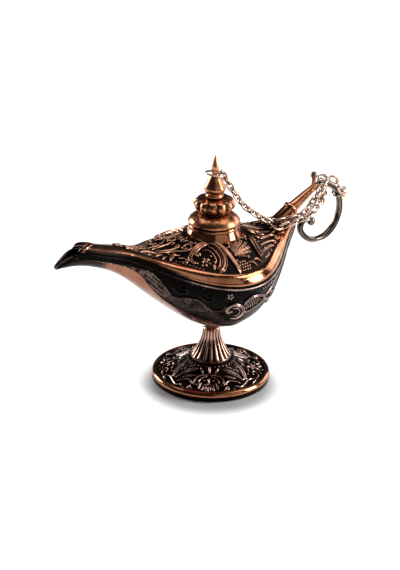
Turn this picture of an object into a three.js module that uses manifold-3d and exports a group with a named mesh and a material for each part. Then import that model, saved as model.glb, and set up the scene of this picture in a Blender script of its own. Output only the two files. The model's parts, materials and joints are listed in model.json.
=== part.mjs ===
import * as THREE from "three";
import { mergeVertices } from "three/addons/utils/BufferGeometryUtils.js";
import Module from "manifold-3d";

const wasm = await Module();
wasm.setup();

// Millimetres, Z up. The stem's axis is x = 0 and the spout points to -X.
const seatGap = 0.3; // between pieces that seat on one another
const slideGap = 0.4; // round the lid's skirt and other loose fits
const wall = 1.5; // cast shell of the hull and the deck
const mouthWall = 0.8; // thinned at the spout's mouth

const footRadius = 19.6;
const footRimHeight = 3.2;
const footRimWidth = 1.7;
const footFieldDrop = 0.5; // carved field below the rim
const footSeatHeight = 7.3; // table to the stem's seat
const footHollowRadius = 16.6;
const footHollowDepth = 2.4;

const stemHeight = 12.9; // foot's seat to the hull
const stemRootRadius = 6.7;
const stemTopRadius = 2.9;
const stemThroatRadius = 2.3;
const stemCrownRadius = 3.6;
const stemLandHeight = 1; // plain ring under the reeds
const reedCount = 18;
const reedDepth = 0.5;

const screwRadius = 1.1;
const screwHeadRadius = 2.4;
const screwHeadHeight = 1.5;
const footWeb = 2.4; // metal over the screw's head
const bossRadius = 3; // tapped boss on the hull's floor
const bossHeight = 4.2; // hull's underside to the boss's top
const screwReach = 3; // screw's tip above the hull's underside

const spoutReach = 62.8; // stem's axis to the spout's lip
const sternReach = 34; // stem's axis to the hull's stern
// Lines of the body, heights from the hull's underside; the rim band is as high as band and as wide as edge
const stations = {
  lip: { x: -spoutReach, half: 0.7, keel: 35.3, rim: 36.1, crown: 39.5, band: 2.3, edge: 4 },
  mouth: { x: -0.892 * spoutReach, half: 2.4, keel: 34.8, rim: 39.1, crown: 41.4, band: 2.3, edge: 4 },
  spout: { x: -0.764 * spoutReach, half: 3.7, keel: 32.4, rim: 37.2, crown: 39.6, band: 2.4, edge: 4 },
  throat: { x: -0.605 * spoutReach, half: 4.7, keel: 26.8, rim: 33.6, crown: 36.2, band: 2.7, edge: 4 },
  shoulder: { x: -0.446 * spoutReach, half: 9.8, keel: 18.2, rim: 28.7, crown: 32, band: 3.2, edge: 3.9 },
  bow: { x: -0.287 * spoutReach, half: 16.8, keel: 9.6, rim: 24.5, crown: 30.6, band: 3.5, edge: 3.2 },
  fore: { x: -0.127 * spoutReach, half: 21.2, keel: 2.4, rim: 21.9, crown: 32, band: 3.5, edge: 2.5 },
  midship: { x: 0.03 * sternReach, half: 22, keel: 0, rim: 21.2, crown: 33, band: 3.5, edge: 2.5 },
  aft: { x: 0.324 * sternReach, half: 18.4, keel: 2.2, rim: 22, crown: 31, band: 3.4, edge: 3 },
  quarter: { x: 0.588 * sternReach, half: 11.8, keel: 7.2, rim: 23.8, crown: 27.8, band: 3, edge: 3.8 },
  tail: { x: 0.824 * sternReach, half: 5.7, keel: 15, rim: 26.8, crown: 29, band: 2.5, edge: 4 },
  stern: { x: sternReach, half: 2.2, keel: 22.8, rim: 29.5, crown: 31.8, band: 2.3, edge: 4 },
};
const hullFullness = 1; // below 1 the sections are fuller than an ellipse
const rimBandStep = 0.5; // rim band above the carved field
const mouthRake = 90; // degrees of the cut over the spout's mouth, from upright
const mouthStep = 0.6; // cut above the rim
const cavityTailX = 0.706 * sternReach; // where the hollow ends at the tail

// Main carving of the -Y side, mirrored to the other. A place is the share of the reach to the spout,
// below 0, or to the stern, with the share of the half width on the deck, or of the way from rim to keel
// on the hull.
const carvingRoot = 0.6; // sunk in the wall
const carvingStep = 2.6; // between sections
const deckScrolls = [
  { width: 0.9, height: 0.9, path: [[-0.12, 0.29], [-0.15, 0.26], [-0.19, 0.28], [-0.23, 0.36],
    [-0.27, 0.48], [-0.28, 0.61], [-0.26, 0.64]] }, // front volute, round its left
  { width: 1.2, height: 1, path: [[-0.12, 0.29], [-0.1, 0.37], [-0.1, 0.48], [-0.11, 0.6],
    [-0.13, 0.71], [-0.15, 0.78], [-0.18, 0.84]] }, // front volute, round its right
  { width: 0.9, height: 0.75, path: [[-0.1, 0.31], [-0.08, 0.44], [-0.07, 0.56], [-0.07, 0.85]] }, // ribbon
  { width: 0.6, height: 0.8, path: [[-0.4, 0.19], [-0.31, 0.21], [-0.24, 0.29], [-0.21, 0.26],
    [-0.2, 0.19], [-0.21, 0.15], [-0.24, 0.17]] }, // scroll towards the spout
  { width: 0.6, height: 0.75, path: [[0.24, 0.36], [0.21, 0.5], [0.19, 0.62], [0.18, 0.8]] }, // bar
  { width: 0.6, height: 0.75, path: [[0.19, 0.77], [0.26, 0.71], [0.34, 0.7], [0.48, 0.72]] }, // branch
  { width: 0.6, height: 0.75, path: [[0.3, 0.61], [0.41, 0.58], [0.51, 0.62], [0.54, 0.7]] }, // hook
  { width: 0.6, height: 0.8, path: [[0.38, 0.48], [0.44, 0.46], [0.55, 0.47], [0.6, 0.57]] }, // hook by the tail
];
const deckLeaves = [
  { width: 1, height: 1, path: [[-0.38, 0.58], [-0.36, 0.43], [-0.33, 0.34], [-0.31, 0.37]] },
  { width: 0.9, height: 0.9, path: [[-0.44, 0.45], [-0.41, 0.34], [-0.38, 0.3]] },
  { width: 1, height: 0.9, path: [[-0.51, 0.3], [-0.47, 0.18], [-0.43, 0.14], [-0.4, 0.21]] },
  { width: 1.2, height: 0.8, path: [[-0.24, 0.62], [-0.18, 0.63]] }, // flower in the volute
  { width: 0.8, height: 0.75, path: [[0.36, 0.12], [0.42, 0.26], [0.53, 0.28], [0.62, 0.3]] },
  { width: 0.7, height: 0.7, path: [[0.29, 0.07], [0.38, 0.05], [0.5, 0.09], [0.6, 0.08]] },
];
const deckFan = { width: 0.8, height: 0.8, root: [-0.04, 0.63], tips: [[-0.04, 0.47], [0, 0.42],
  [0.07, 0.42], [0.13, 0.48], [0.14, 0.59], [0.07, 0.7]] };
const hullScrolls = [
  { width: 0.5, height: 0.45, path: [[-0.49, 0.15], [-0.44, 0.3], [-0.38, 0.45], [-0.35, 0.36],
    [-0.29, 0.29], [-0.23, 0.37], [-0.19, 0.36], [-0.17, 0.26]] }, // wave
  { width: 0.7, height: 0.7, path: [[-0.1, 0.42], [-0.07, 0.4], [-0.06, 0.34], [-0.06, 0.26],
    [-0.09, 0.22], [-0.12, 0.21], [-0.14, 0.25], [-0.15, 0.3], [-0.12, 0.32]] }, // volute
  { width: 0.5, height: 0.6, path: [[-0.07, 0.24], [-0.06, 0.16], [-0.02, 0.12], [0.07, 0.14],
    [0.12, 0.19], [0.07, 0.24], [-0.01, 0.28], [-0.05, 0.31]] }, // leaf
  { width: 0.6, height: 0.6, path: [[0.24, 0.36], [0.31, 0.4], [0.37, 0.36], [0.38, 0.29],
    [0.33, 0.26]] }, // volute towards the tail
  { width: 0.5, height: 0.5, path: [[0.37, 0.34], [0.44, 0.4], [0.53, 0.38], [0.62, 0.3],
    [0.71, 0.28], [0.77, 0.34]] }, // wave towards the tail
];

const collarRise = 1.7; // collar's lip above the deck's crown
const collarRoot = 4; // collar's foot below the crown
const collarHeight = stations.midship.crown + collarRise;
const collarFootHeight = stations.midship.crown - collarRoot;
const collarFootDepth = 3.3; // lip to the top of the wider foot
const collarTaper = 1.2;
const collarLip = 1;
const collarRadius = 8.3;
const collarFootRadius = 9.1;
const collarBore = 7;

const lidRadius = 8.5;
const lidDomeHeight = 3.9;
const lidWaistRadius = 4.4;
const lidSkirtDepth = 3;
const lidRecessRadius = 5;
const lidRecessDepth = 1.2; // above the flange's underside
const studRadius = 1;
const nutWidth = 4;
const nutHeight = 1.5;

const knopHeight = 4.3;
const knopRadius = 6.8;
const knopLobes = 12;
const knopLobeDepth = 0.8;

const finialHeight = 14.4;
const finialBulbRadius = 3.6;
const finialBulbHeight = 3;
const finialNeckRadius = 1.1;
const finialNeckHeight = 8;
const finialFootRadius = 2.9;

const neckRoot = { x: 0.794 * sternReach, z: 28 }; // tail socket's axis where it leaves the deck
const neckSlope = 28.5; // degrees
const neckRadius = 2.4;
const neckLength = 7.4;
const neckBeadRadius = 2.8;
const neckBeadLength = 1.3;
const shankBore = 1.5; // radius of the socket for the scroll's shank
const shankDepth = 4;
const shankLength = 11.4; // socket's mouth to the scroll
const shankRadius = 1.9;
const shankTipRadius = 1.15;

const scrollWidth = 18.6;
const scrollHeight = 19.8;
const scrollWire = 1; // half thickness in the scroll's plane
const scrollBreadth = 1.25; // half thickness across it
const curlRadius = 3;
const curlEndRadius = 2.2;
const ballRadius = 1.15;
const postHeight = 4.4;
const postRadius = 0.75;
const spurLength = 2;
const spurRadius = 0.9;

const cupRadius = 6.2;
const cupHeight = 8;
const cupWall = 0.8;
const cupFootRadius = 4.2;

const wire = 0.7; // chain wire
const linkPitch = 2.4;
const linkWidth = 2.7;
const linkSlack = 0.4;
const finialRingRadius = 3;
const finialRingTilt = 10; // degrees
const junctionRingRadius = 2.3;
const junctionX = 0.659 * sternReach;
const junctionY = -5;
const junctionRise = 3; // ring's middle above the deck
const scrollRingRadius = 2.4;
const spurRingAngle = 30; // degrees round the scroll
const scrollRingSag = 0.8; // ring's middle off the scroll's wire
const slingSpread = 3.1; // between the two strands beside the neck
const lidRunSag = 2.1; // of the run from the finial, below a straight line
const lidRunClear = 2.3; // between that run's middle and the knop
const endRunReach = 0.6; // of the run on the scroll, outside the wire's middle

const copper = new THREE.MeshStandardMaterial({ color: 0x9c5a3c, roughness: 0.35, metalness: 1 });
const darkCopper = new THREE.MeshStandardMaterial({ color: 0x4a2c22, roughness: 0.5, metalness: 1 });
const bronze = new THREE.MeshStandardMaterial({ color: 0x6b4a3a, roughness: 0.4, metalness: 1 });
const chainMetal = new THREE.MeshStandardMaterial({ color: 0xb98a72, roughness: 0.35, metalness: 1 });
const brass = new THREE.MeshStandardMaterial({ color: 0xa88a4c, roughness: 0.45, metalness: 1 });
const steel = new THREE.MeshStandardMaterial({ color: 0x8d8f92, roughness: 0.4, metalness: 1 });

const radians = THREE.MathUtils.degToRad;

// A closed solid from a skin, whichever way its faces were wound
function toSolid(geometry) {
  const bare = geometry.index ? geometry.toNonIndexed() : geometry.clone();
  for (const name of Object.keys(bare.attributes)) {
    if (name !== "position") bare.deleteAttribute(name);
  }
  const skin = mergeVertices(bare, 1e-4);
  const corners = [];
  for (let i = 0; i < skin.index.count; i += 3) {
    const [a, b, c] = [0, 1, 2].map((k) => skin.index.getX(i + k));
    if (a !== b && b !== c && c !== a) corners.push(a, b, c);
  }
  if (signedVolume(skin.attributes.position, corners) < 0) corners.reverse();
  const mesh = new wasm.Mesh({
    numProp: 3,
    vertProperties: Float32Array.from(skin.attributes.position.array),
    triVerts: Uint32Array.from(corners),
  });
  return new wasm.Manifold(mesh);
}

function signedVolume(position, corners) {
  const [a, b, c] = [new THREE.Vector3(), new THREE.Vector3(), new THREE.Vector3()];
  let total = 0;
  for (let i = 0; i < corners.length; i += 3) {
    a.fromBufferAttribute(position, corners[i]);
    b.fromBufferAttribute(position, corners[i + 1]);
    c.fromBufferAttribute(position, corners[i + 2]);
    total += a.dot(b.cross(c));
  }
  return total;
}

function toGeometry(solid) {
  const mesh = solid.getMesh();
  const geometry = new THREE.BufferGeometry();
  geometry.setAttribute("position", new THREE.BufferAttribute(mesh.vertProperties, 3));
  geometry.setIndex(new THREE.BufferAttribute(mesh.triVerts, 1));
  geometry.computeVertexNormals();
  return geometry;
}

function piece(name, solid, material) {
  const mesh = new THREE.Mesh(toGeometry(solid), material);
  mesh.name = name;
  return mesh;
}

// Profile of [radius, height] points turned about Z
function revolve(profile, segments) {
  const points = profile.map(([radius, height]) => new THREE.Vector2(radius, height));
  return toSolid(new THREE.LatheGeometry(points, segments).rotateX(Math.PI / 2));
}

// Round bar on the Z axis, straight or tapered to its tip
function rod(radius, bottom, top, segments, tipRadius = radius) {
  const bar = new THREE.CylinderGeometry(tipRadius, radius, top - bottom, segments).rotateX(Math.PI / 2);
  return toSolid(bar.translate(0, 0, (top + bottom) / 2));
}

// A skin through equal rings of points, capped at its ends or joined end to start
function loft(rings, joined = false) {
  const count = rings[0].length;
  const positions = rings.flat().flatMap((point) => point.toArray());
  const index = [];
  const spans = joined ? rings.length : rings.length - 1;
  for (let i = 0; i < spans; i++) {
    for (let j = 0; j < count; j++) {
      const a = i * count + j;
      const b = i * count + ((j + 1) % count);
      const c = ((i + 1) % rings.length) * count + j;
      const d = ((i + 1) % rings.length) * count + ((j + 1) % count);
      index.push(a, b, c, b, d, c);
    }
  }
  for (const end of joined ? [] : [0, rings.length - 1]) {
    const middle = new THREE.Vector3();
    rings[end].forEach((point) => middle.addScaledVector(point, 1 / count));
    const hub = positions.length / 3;
    positions.push(...middle.toArray());
    for (let j = 0; j < count; j++) {
      const a = end * count + j;
      const b = end * count + ((j + 1) % count);
      if (end === 0) index.push(hub, b, a);
      else index.push(hub, a, b);
    }
  }
  const geometry = new THREE.BufferGeometry();
  geometry.setAttribute("position", new THREE.Float32BufferAttribute(positions, 3));
  geometry.setIndex(index);
  return toSolid(geometry);
}

// Natural cubic line through [x, y] points
function smoothLine(points) {
  const n = points.length;
  const step = points.slice(1).map((p, i) => p[0] - points[i][0]);
  const rise = points.slice(1).map((p, i) => (p[1] - points[i][1]) / step[i]);
  const bend = new Array(n).fill(0);
  const ratio = new Array(n).fill(0);
  for (let i = 1; i < n - 1; i++) {
    const pivot = 2 * (step[i - 1] + step[i]) - step[i - 1] * ratio[i - 1];
    ratio[i] = step[i] / pivot;
    bend[i] = (6 * (rise[i] - rise[i - 1]) - step[i - 1] * bend[i - 1]) / pivot;
  }
  for (let i = n - 2; i > 0; i--) bend[i] -= ratio[i] * bend[i + 1];
  return (x) => {
    let i = 0;
    while (i < n - 2 && x > points[i + 1][0]) i++;
    const s = x - points[i][0];
    const slope = rise[i] - (step[i] * (2 * bend[i] + bend[i + 1])) / 6;
    const twist = (bend[i + 1] - bend[i]) / (6 * step[i]);
    return points[i][1] + s * (slope + s * (bend[i] / 2 + s * twist));
  };
}

const lineOf = (size) => smoothLine(Object.values(stations).map((s) => [s.x, s[size]]));
const halfAt = lineOf("half");
const keelAt = lineOf("keel");
const rimAt = lineOf("rim");
const crownAt = lineOf("crown");
const bandAt = lineOf("band");
const edgeAt = lineOf("edge");

// Positions along the body, closer together at its ends
function alongBody(from, to, count) {
  const places = [];
  for (let i = 0; i <= count; i++) {
    const t = i / count;
    places.push(from + (to - from) * (t - Math.sin(2 * Math.PI * t) / 14));
  }
  return places;
}

function wallAt(x) {
  const { mouth, spout } = stations;
  const share = THREE.MathUtils.clamp((x - mouth.x) / (spout.x - mouth.x), 0, 1);
  return mouthWall + (wall - mouthWall) * share;
}

// Section of the hull at x, drawn in by inset and closed above the rim by rise
function hullRing(x, inset, rise, points) {
  const half = Math.max(halfAt(x) - inset, 0.3);
  const depth = Math.max(rimAt(x) - keelAt(x) - inset, 0.3);
  const ring = [];
  for (let j = 0; j <= points; j++) {
    const turn = (Math.PI * j) / points;
    const drop = depth * Math.sin(turn) ** hullFullness;
    ring.push(new THREE.Vector3(x, -half * Math.cos(turn), rimAt(x) - drop));
  }
  if (rise > 0) {
    ring.push(new THREE.Vector3(x, half, rimAt(x) + rise), new THREE.Vector3(x, -half, rimAt(x) + rise));
  }
  return ring;
}

function hullSkin() {
  const { lip, stern } = stations;
  return loft(alongBody(lip.x, stern.x, 24).map((x) => hullRing(x, 0, 0, 12)));
}

function makeHull() {
  const places = alongBody(stations.lip.x - 1, cavityTailX, 16);
  const inside = loft(places.map((x) => hullRing(x, wallAt(x), 3, 8)));
  const boss = rod(bossRadius, wall / 2, bossHeight, 24);
  const tapping = rod(screwRadius + seatGap, -1, screwReach + seatGap, 20);
  return hullSkin().subtract(inside).add(hullCarving()).add(boss)
    .subtract(tapping).subtract(tailSocket(seatGap));
}

// Height of the deck above a point of the plan, lowered by inset
function deckHeight(x, y, inset) {
  const half = halfAt(x) - inset;
  const edge = half - Math.abs(y);
  const band = Math.min(edgeAt(x), half);
  if (edge <= band) {
    const fall = 1 - Math.max(edge, 0) / band;
    return rimAt(x) + (bandAt(x) - inset) * Math.sqrt(1 - fall * fall);
  }
  const field = rimAt(x) + bandAt(x) - rimBandStep - inset;
  const share = (edge - band) / (half - band);
  return field + (crownAt(x) - inset - field) * (1 - (1 - share) ** 2);
}

// Section of the deck at x, closed under the rim by drop
function deckRing(x, inset, drop, points) {
  const half = Math.max(halfAt(x) - inset, 0.3);
  const band = Math.min(edgeAt(x), half);
  const ring = [];
  for (let j = -points; j <= points; j++) {
    const share = Math.abs(j) / points;
    const inBand = share > 0.5;
    const y = inBand ? half - band * (1 - Math.sin(Math.PI * (share - 0.5))) : (half - band) * share * 2;
    ring.push(new THREE.Vector3(x, Math.sign(j) * y, deckHeight(x, y, inset)));
  }
  if (drop > 0) {
    ring.push(new THREE.Vector3(x, half, rimAt(x) - drop), new THREE.Vector3(x, -half, rimAt(x) - drop));
  }
  return ring;
}

const reachTo = (share) => share * (share < 0 ? spoutReach : sternReach);

// Skins that carry carving: plain places across them, and their points
const onDeck = {
  across: (x, share) => -share * halfAt(x),
  point: (x, y) => new THREE.Vector3(x, y, deckHeight(x, y, 0)),
};
const quarterGirth = stations.midship.half * 1.5;
const onHull = {
  across: (x, share) => -share * quarterGirth,
  point: (x, y) => {
    const turn = (-y / quarterGirth) * (Math.PI / 2);
    const drop = (rimAt(x) - keelAt(x)) * Math.sin(turn);
    return new THREE.Vector3(x, -halfAt(x) * Math.cos(turn), rimAt(x) - drop);
  },
};

const barSwell = (t) => Math.sqrt(Math.min(1, 0.1 + t / 0.14, 0.1 + (1 - t) / 0.1));
const leafSwell = (t) => Math.max(0.12, Math.sin(Math.PI * t)) ** 0.75;
const fanSwell = (t) => 0.3 + 0.7 * t;

// Ridge along a path of places on a skin, its root sunk in the wall
function carve(skin, { path, width, height }, swell) {
  const corners = path.map(([along, share]) => {
    const x = reachTo(along);
    return new THREE.Vector3(x, skin.across(x, share), 0);
  });
  const curve = new THREE.CatmullRomCurve3(corners, false, "centripetal");
  const count = Math.max(2, Math.round(curve.getLength() / carvingStep));
  const spots = curve.getSpacedPoints(count);
  const points = spots.map(({ x, y }) => skin.point(x, y));
  return loft(spots.map(({ x, y }, i) => {
    const lengthwise = skin.point(x + 0.1, y).sub(skin.point(x - 0.1, y));
    const out = lengthwise.cross(skin.point(x, y + 0.1).sub(skin.point(x, y - 0.1))).normalize();
    const heading = points[Math.min(i + 1, count)].clone().sub(points[Math.max(i - 1, 0)]);
    const side = heading.cross(out).normalize();
    const size = swell(i / count);
    const spread = (width * size * (height + carvingRoot)) / height;
    const foot = points[i].clone().addScaledVector(out, -carvingRoot);
    return [foot.clone().addScaledVector(side, spread), points[i].clone().addScaledVector(out, height * size),
      foot.clone().addScaledVector(side, -spread)];
  }));
}

function bothSides(ridges) {
  const near = ridges.reduce((sum, ridge) => sum.add(ridge));
  return near.add(near.mirror([0, 1, 0]));
}

function deckCarving() {
  const { root, tips, width, height } = deckFan;
  return bothSides([...deckScrolls.map((scroll) => carve(onDeck, scroll, barSwell)),
    ...deckLeaves.map((leaf) => carve(onDeck, leaf, leafSwell)),
    ...tips.map((tip) => carve(onDeck, { path: [root, tip], width, height }, fanSwell))]);
}

function hullCarving() {
  return bothSides(hullScrolls.map((scroll) => carve(onHull, scroll, barSwell)));
}

// Things drawn along +Z from the origin, laid on the tail socket's axis
function alongNeck(solid, distance) {
  const slope = radians(neckSlope);
  const x = neckRoot.x + distance * Math.cos(slope);
  const z = neckRoot.z + distance * Math.sin(slope);
  return solid.rotate([0, 90 - neckSlope, 0]).translate([x, 0, z]);
}

function tailSocket(swell) {
  const bead = neckBeadRadius + swell;
  const tube = neckRadius + swell;
  const end = neckLength + swell;
  const start = end - neckBeadLength - 2 * swell;
  const profile = [[0, 0], [tube, 0], [tube, start], [bead, start + 0.35],
    [bead, end - 0.35], [tube, end], [0, end]];
  return alongNeck(revolve(profile, 20), 0);
}

function makeDeck() {
  const { lip, mouth, spout, tail } = stations;
  const places = alongBody(mouth.x, tail.x + 3, 22);
  const outside = loft(places.map((x) => deckRing(x, 0, 0, 8)));
  const inside = loft(alongBody(lip.x, cavityTailX, 16).map((x) => deckRing(x, wallAt(x), 2, 4)));
  const collar = revolve([[0, collarFootHeight], [collarFootRadius, collarFootHeight],
    [collarFootRadius, collarHeight - collarFootDepth],
    [collarRadius - 0.3, collarHeight - collarFootDepth + collarTaper],
    [collarRadius - 0.3, collarHeight - collarLip], [collarRadius, collarHeight], [0, collarHeight]], 32);
  const bore = rod(collarBore, collarFootHeight - collarRoot, collarHeight + collarLip, 32);
  const shank = alongNeck(rod(shankBore, 0, shankDepth + 1, 20), neckLength - shankDepth);
  const reach = spout.x - lip.x;
  const mouthCut = toSolid(new THREE.BoxGeometry(reach, reach, 2 * reach).translate(-reach / 2, 0, 0))
    .rotate([0, mouthRake, 0]).translate([mouth.x, 0, mouth.rim + mouthStep]);
  return outside.subtract(inside).add(deckCarving()).add(collar).subtract(bore).add(tailSocket(0))
    .subtract(shank).subtract(mouthCut).translate([0, 0, seatGap]);
}

function makeFoot() {
  const rimInner = footRadius - footRimWidth;
  const field = footRimHeight - footFieldDrop;
  const seat = stemRootRadius + 0.5;
  const hole = screwRadius + slideGap;
  const headHole = screwHeadRadius + slideGap;
  const web = footSeatHeight - footWeb;
  const profile = [[hole, web], [hole, footSeatHeight], [seat, footSeatHeight]];
  for (const t of [0.15, 0.35, 0.6, 1]) {
    profile.push([seat + (rimInner - seat) * t, field + (footSeatHeight - field) * (1 - t) ** 1.8]);
  }
  profile.push([rimInner + 0.25, footRimHeight], [footRadius - 0.6, footRimHeight],
    [footRadius, footRimHeight - 0.8], [footRadius, 0.6], [footRadius - 0.6, 0], [footHollowRadius, 0],
    [footHollowRadius - 0.8, footHollowDepth], [headHole + 1.2, footHollowDepth],
    [headHole, footHollowDepth + 0.6], [headHole, web], [hole, web]);
  return revolve(profile, 36);
}

// Rings with rounded lobes and sharp grooves between them; levels are [height, radius, depth]
function lobedRings(levels, lobes, samples) {
  const around = lobes * samples;
  return levels.map(([height, radius, depth]) => Array.from({ length: around }, (_, j) => {
    const turn = (2 * Math.PI * j) / around;
    const reach = radius - depth * (1 - Math.abs(Math.sin((lobes * turn) / 2)));
    return new THREE.Vector3(reach * Math.cos(turn), reach * Math.sin(turn), height);
  }));
}

function makeStem() {
  const reedTop = stemHeight - 2.4;
  const reedFoot = stemLandHeight + 0.5;
  const levels = [[0, stemRootRadius, 0], [stemLandHeight, stemRootRadius, 0]];
  for (const t of [0, 0.12, 0.3, 0.55, 1]) {
    const radius = stemTopRadius + (stemRootRadius - 0.3 - stemTopRadius) * (1 - t) ** 1.9;
    levels.push([reedFoot + (reedTop - reedFoot) * t, radius, reedDepth * (1 - 0.5 * t)]);
  }
  levels.push([reedTop + 0.4, stemThroatRadius, 0], [stemHeight - 1.2, stemThroatRadius, 0],
    [stemHeight - 0.4, stemCrownRadius, 0], [stemHeight + 0.8, stemCrownRadius, 0]);
  const bore = rod(screwRadius + slideGap, -1, stemHeight + 2, 20);
  const bed = hullSkin().translate([0, 0, stemHeight - seatGap]);
  return loft(lobedRings(levels, reedCount, 3)).subtract(bore).subtract(bed);
}

function makeScrew() {
  const top = footSeatHeight - footWeb - seatGap;
  const tip = footSeatHeight + stemHeight + screwReach;
  return revolve([[0, top - screwHeadHeight], [screwHeadRadius - 0.6, top - screwHeadHeight],
    [screwHeadRadius, top - screwHeadHeight + 0.7], [screwHeadRadius, top], [screwRadius, top],
    [screwRadius, tip - 0.5], [screwRadius - 0.5, tip], [0, tip]], 20);
}

// Lid pieces, heights from the underside of the flange
function makeLidCap() {
  const skirt = collarBore - slideGap;
  const hole = studRadius + seatGap;
  const profile = [[hole, lidRecessDepth], [lidRecessRadius, lidRecessDepth],
    [lidRecessRadius, -lidSkirtDepth], [skirt - 0.4, -lidSkirtDepth], [skirt, 0.4 - lidSkirtDepth],
    [skirt, 0], [lidRadius - 0.5, 0], [lidRadius, 0.5], [lidRadius - 0.1, 1.2]];
  for (const t of [0.3, 0.6, 1]) {
    profile.push([lidRadius - (lidRadius - lidWaistRadius) * t,
      1.2 + (lidDomeHeight - 1.5) * (1 - (1 - t) ** 1.7)]);
  }
  profile.push([lidWaistRadius, lidDomeHeight], [hole, lidDomeHeight], [hole, lidRecessDepth]);
  return revolve(profile, 32);
}

function makeKnop() {
  const levels = [];
  for (const turn of [-90, -60, -25, 10, 45, 75]) {
    const bulge = Math.cos(radians(turn));
    const radius = lidWaistRadius - 0.2 + (knopRadius - lidWaistRadius + 0.2) * bulge;
    levels.push([(knopHeight / 2) * (1 + Math.sin(radians(turn))), radius, knopLobeDepth * bulge]);
  }
  levels.push([knopHeight, lidWaistRadius - 1.2, 0]);
  const hole = rod(studRadius + seatGap, -1, knopHeight + 1, 16);
  return loft(lobedRings(levels, knopLobes, 3)).subtract(hole);
}

function makeFinial() {
  const neck = finialNeckHeight;
  const bulb = finialBulbHeight;
  const stud = lidRecessDepth - nutHeight - seatGap - 0.8 - lidDomeHeight - knopHeight - 2 * seatGap;
  return revolve([[0, stud], [studRadius, stud], [studRadius, 0], [finialFootRadius - 0.4, 0],
    [finialFootRadius, 0.3], [finialFootRadius - 0.1, 0.8], [finialFootRadius - 0.4, 1],
    [finialBulbRadius - 0.3, bulb - 1], [finialBulbRadius, bulb], [finialBulbRadius - 0.4, bulb + 1.2],
    [finialNeckRadius + 0.9, (bulb + neck) / 2 + 0.6], [finialNeckRadius, neck],
    [finialNeckRadius + 0.15, neck + 1.4],
    [(finialNeckRadius + 0.15) * 0.55, (neck + finialHeight) / 2 + 1], [0, finialHeight]], 16);
}

function makeNut() {
  const blank = rod(nutWidth / Math.sqrt(3), 0, nutHeight, 6);
  return blank.subtract(rod(studRadius + seatGap, -1, nutHeight + 1, 16));
}

function makeCup() {
  const inner = cupRadius - cupWall;
  const floor = bossHeight + seatGap + cupWall;
  const foot = wall + seatGap + 1;
  return revolve([[0, bossHeight + seatGap], [cupFootRadius - cupWall, bossHeight + seatGap],
    [cupFootRadius - cupWall, foot], [cupFootRadius, foot], [cupFootRadius, floor - 0.4],
    [cupRadius, floor + 1.2], [cupRadius, foot + cupHeight], [inner, foot + cupHeight],
    [inner, floor + 1.4], [cupFootRadius - 0.4, floor], [0, floor]], 20);
}

const neckTip = {
  x: neckRoot.x + (neckLength + shankLength) * Math.cos(radians(neckSlope)),
  z: neckRoot.z + (neckLength + shankLength) * Math.sin(radians(neckSlope)),
};
const scrollStart = 105; // degrees round the scroll, from +X
const scrollEnd = -150;
const scrollMiddle = {
  x: neckTip.x - (scrollWidth / 2) * Math.cos(radians(scrollStart)),
  z: neckTip.z - (scrollHeight / 2) * Math.sin(radians(scrollStart)),
};

// Point beside the scroll's ring, reach out from the wire's middle
function besideScroll(angle, reach, y = 0) {
  const turn = radians(angle);
  const x = scrollMiddle.x + (scrollWidth / 2 + reach) * Math.cos(turn);
  return new THREE.Vector3(x, y, scrollMiddle.z + (scrollHeight / 2 + reach) * Math.sin(turn));
}

function scrollPath() {
  const points = [];
  for (let angle = scrollStart; angle >= scrollEnd; angle -= 15) points.push(besideScroll(angle, 0));
  const last = points[points.length - 1];
  const heading = last.clone().sub(points[points.length - 2]).normalize();
  const toMiddle = new THREE.Vector3(heading.z, 0, -heading.x);
  const from = Math.atan2(-toMiddle.z, -toMiddle.x);
  const middle = last.clone().addScaledVector(toMiddle, curlRadius);
  for (let i = 1; i <= 6; i++) {
    const radius = curlRadius + ((curlEndRadius - curlRadius) * i) / 6;
    const turn = from - radians(31 * i);
    const way = new THREE.Vector3(Math.cos(turn), 0, Math.sin(turn));
    points.push(middle.clone().addScaledVector(way, radius));
  }
  return new THREE.CatmullRomCurve3(points, false, "centripetal");
}

// Oval bar along a path that lies in the XZ plane
function ovalBar(path, steps, sides, inPlane, across) {
  const rings = [];
  for (let i = 0; i <= steps; i++) {
    const point = path.getPointAt(i / steps);
    const tangent = path.getTangentAt(i / steps);
    const normal = new THREE.Vector3(-tangent.z, 0, tangent.x);
    rings.push(Array.from({ length: sides }, (_, j) => {
      const turn = (2 * Math.PI * j) / sides;
      const ringPoint = point.clone().addScaledVector(normal, inPlane * Math.cos(turn));
      return ringPoint.setY(across * Math.sin(turn));
    }));
  }
  return loft(rings);
}

function makeScroll() {
  const path = scrollPath();
  const curlTip = path.getPointAt(1);
  const start = neckLength + seatGap;
  const end = neckLength + shankLength;
  const spigot = shankBore - seatGap;
  const shank = alongNeck(revolve([[0, neckLength - shankDepth + seatGap],
    [spigot, neckLength - shankDepth + seatGap], [spigot, start], [shankRadius, start],
    [shankTipRadius, end - 1], [shankTipRadius - 0.3, end + 0.6], [0, end + 0.6]], 16), 0);
  const ball = toSolid(new THREE.SphereGeometry(ballRadius, 10, 6));
  const post = rod(postRadius, neckTip.z - 0.4, neckTip.z + postHeight, 12)
    .translate([neckTip.x - 0.6, 0, 0]);
  const spurFoot = besideScroll(12, 0);
  const spur = rod(spurRadius, 0, scrollWire + spurLength, 10, 0.15)
    .rotate([0, 68, 0]).translate(spurFoot.toArray());
  return ovalBar(path, 40, 8, scrollWire, scrollBreadth).add(shank).add(post).add(spur)
    .add(ball.translate([neckTip.x - 0.6, 0, neckTip.z + postHeight]))
    .add(ball.translate(curlTip.toArray()));
}

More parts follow.
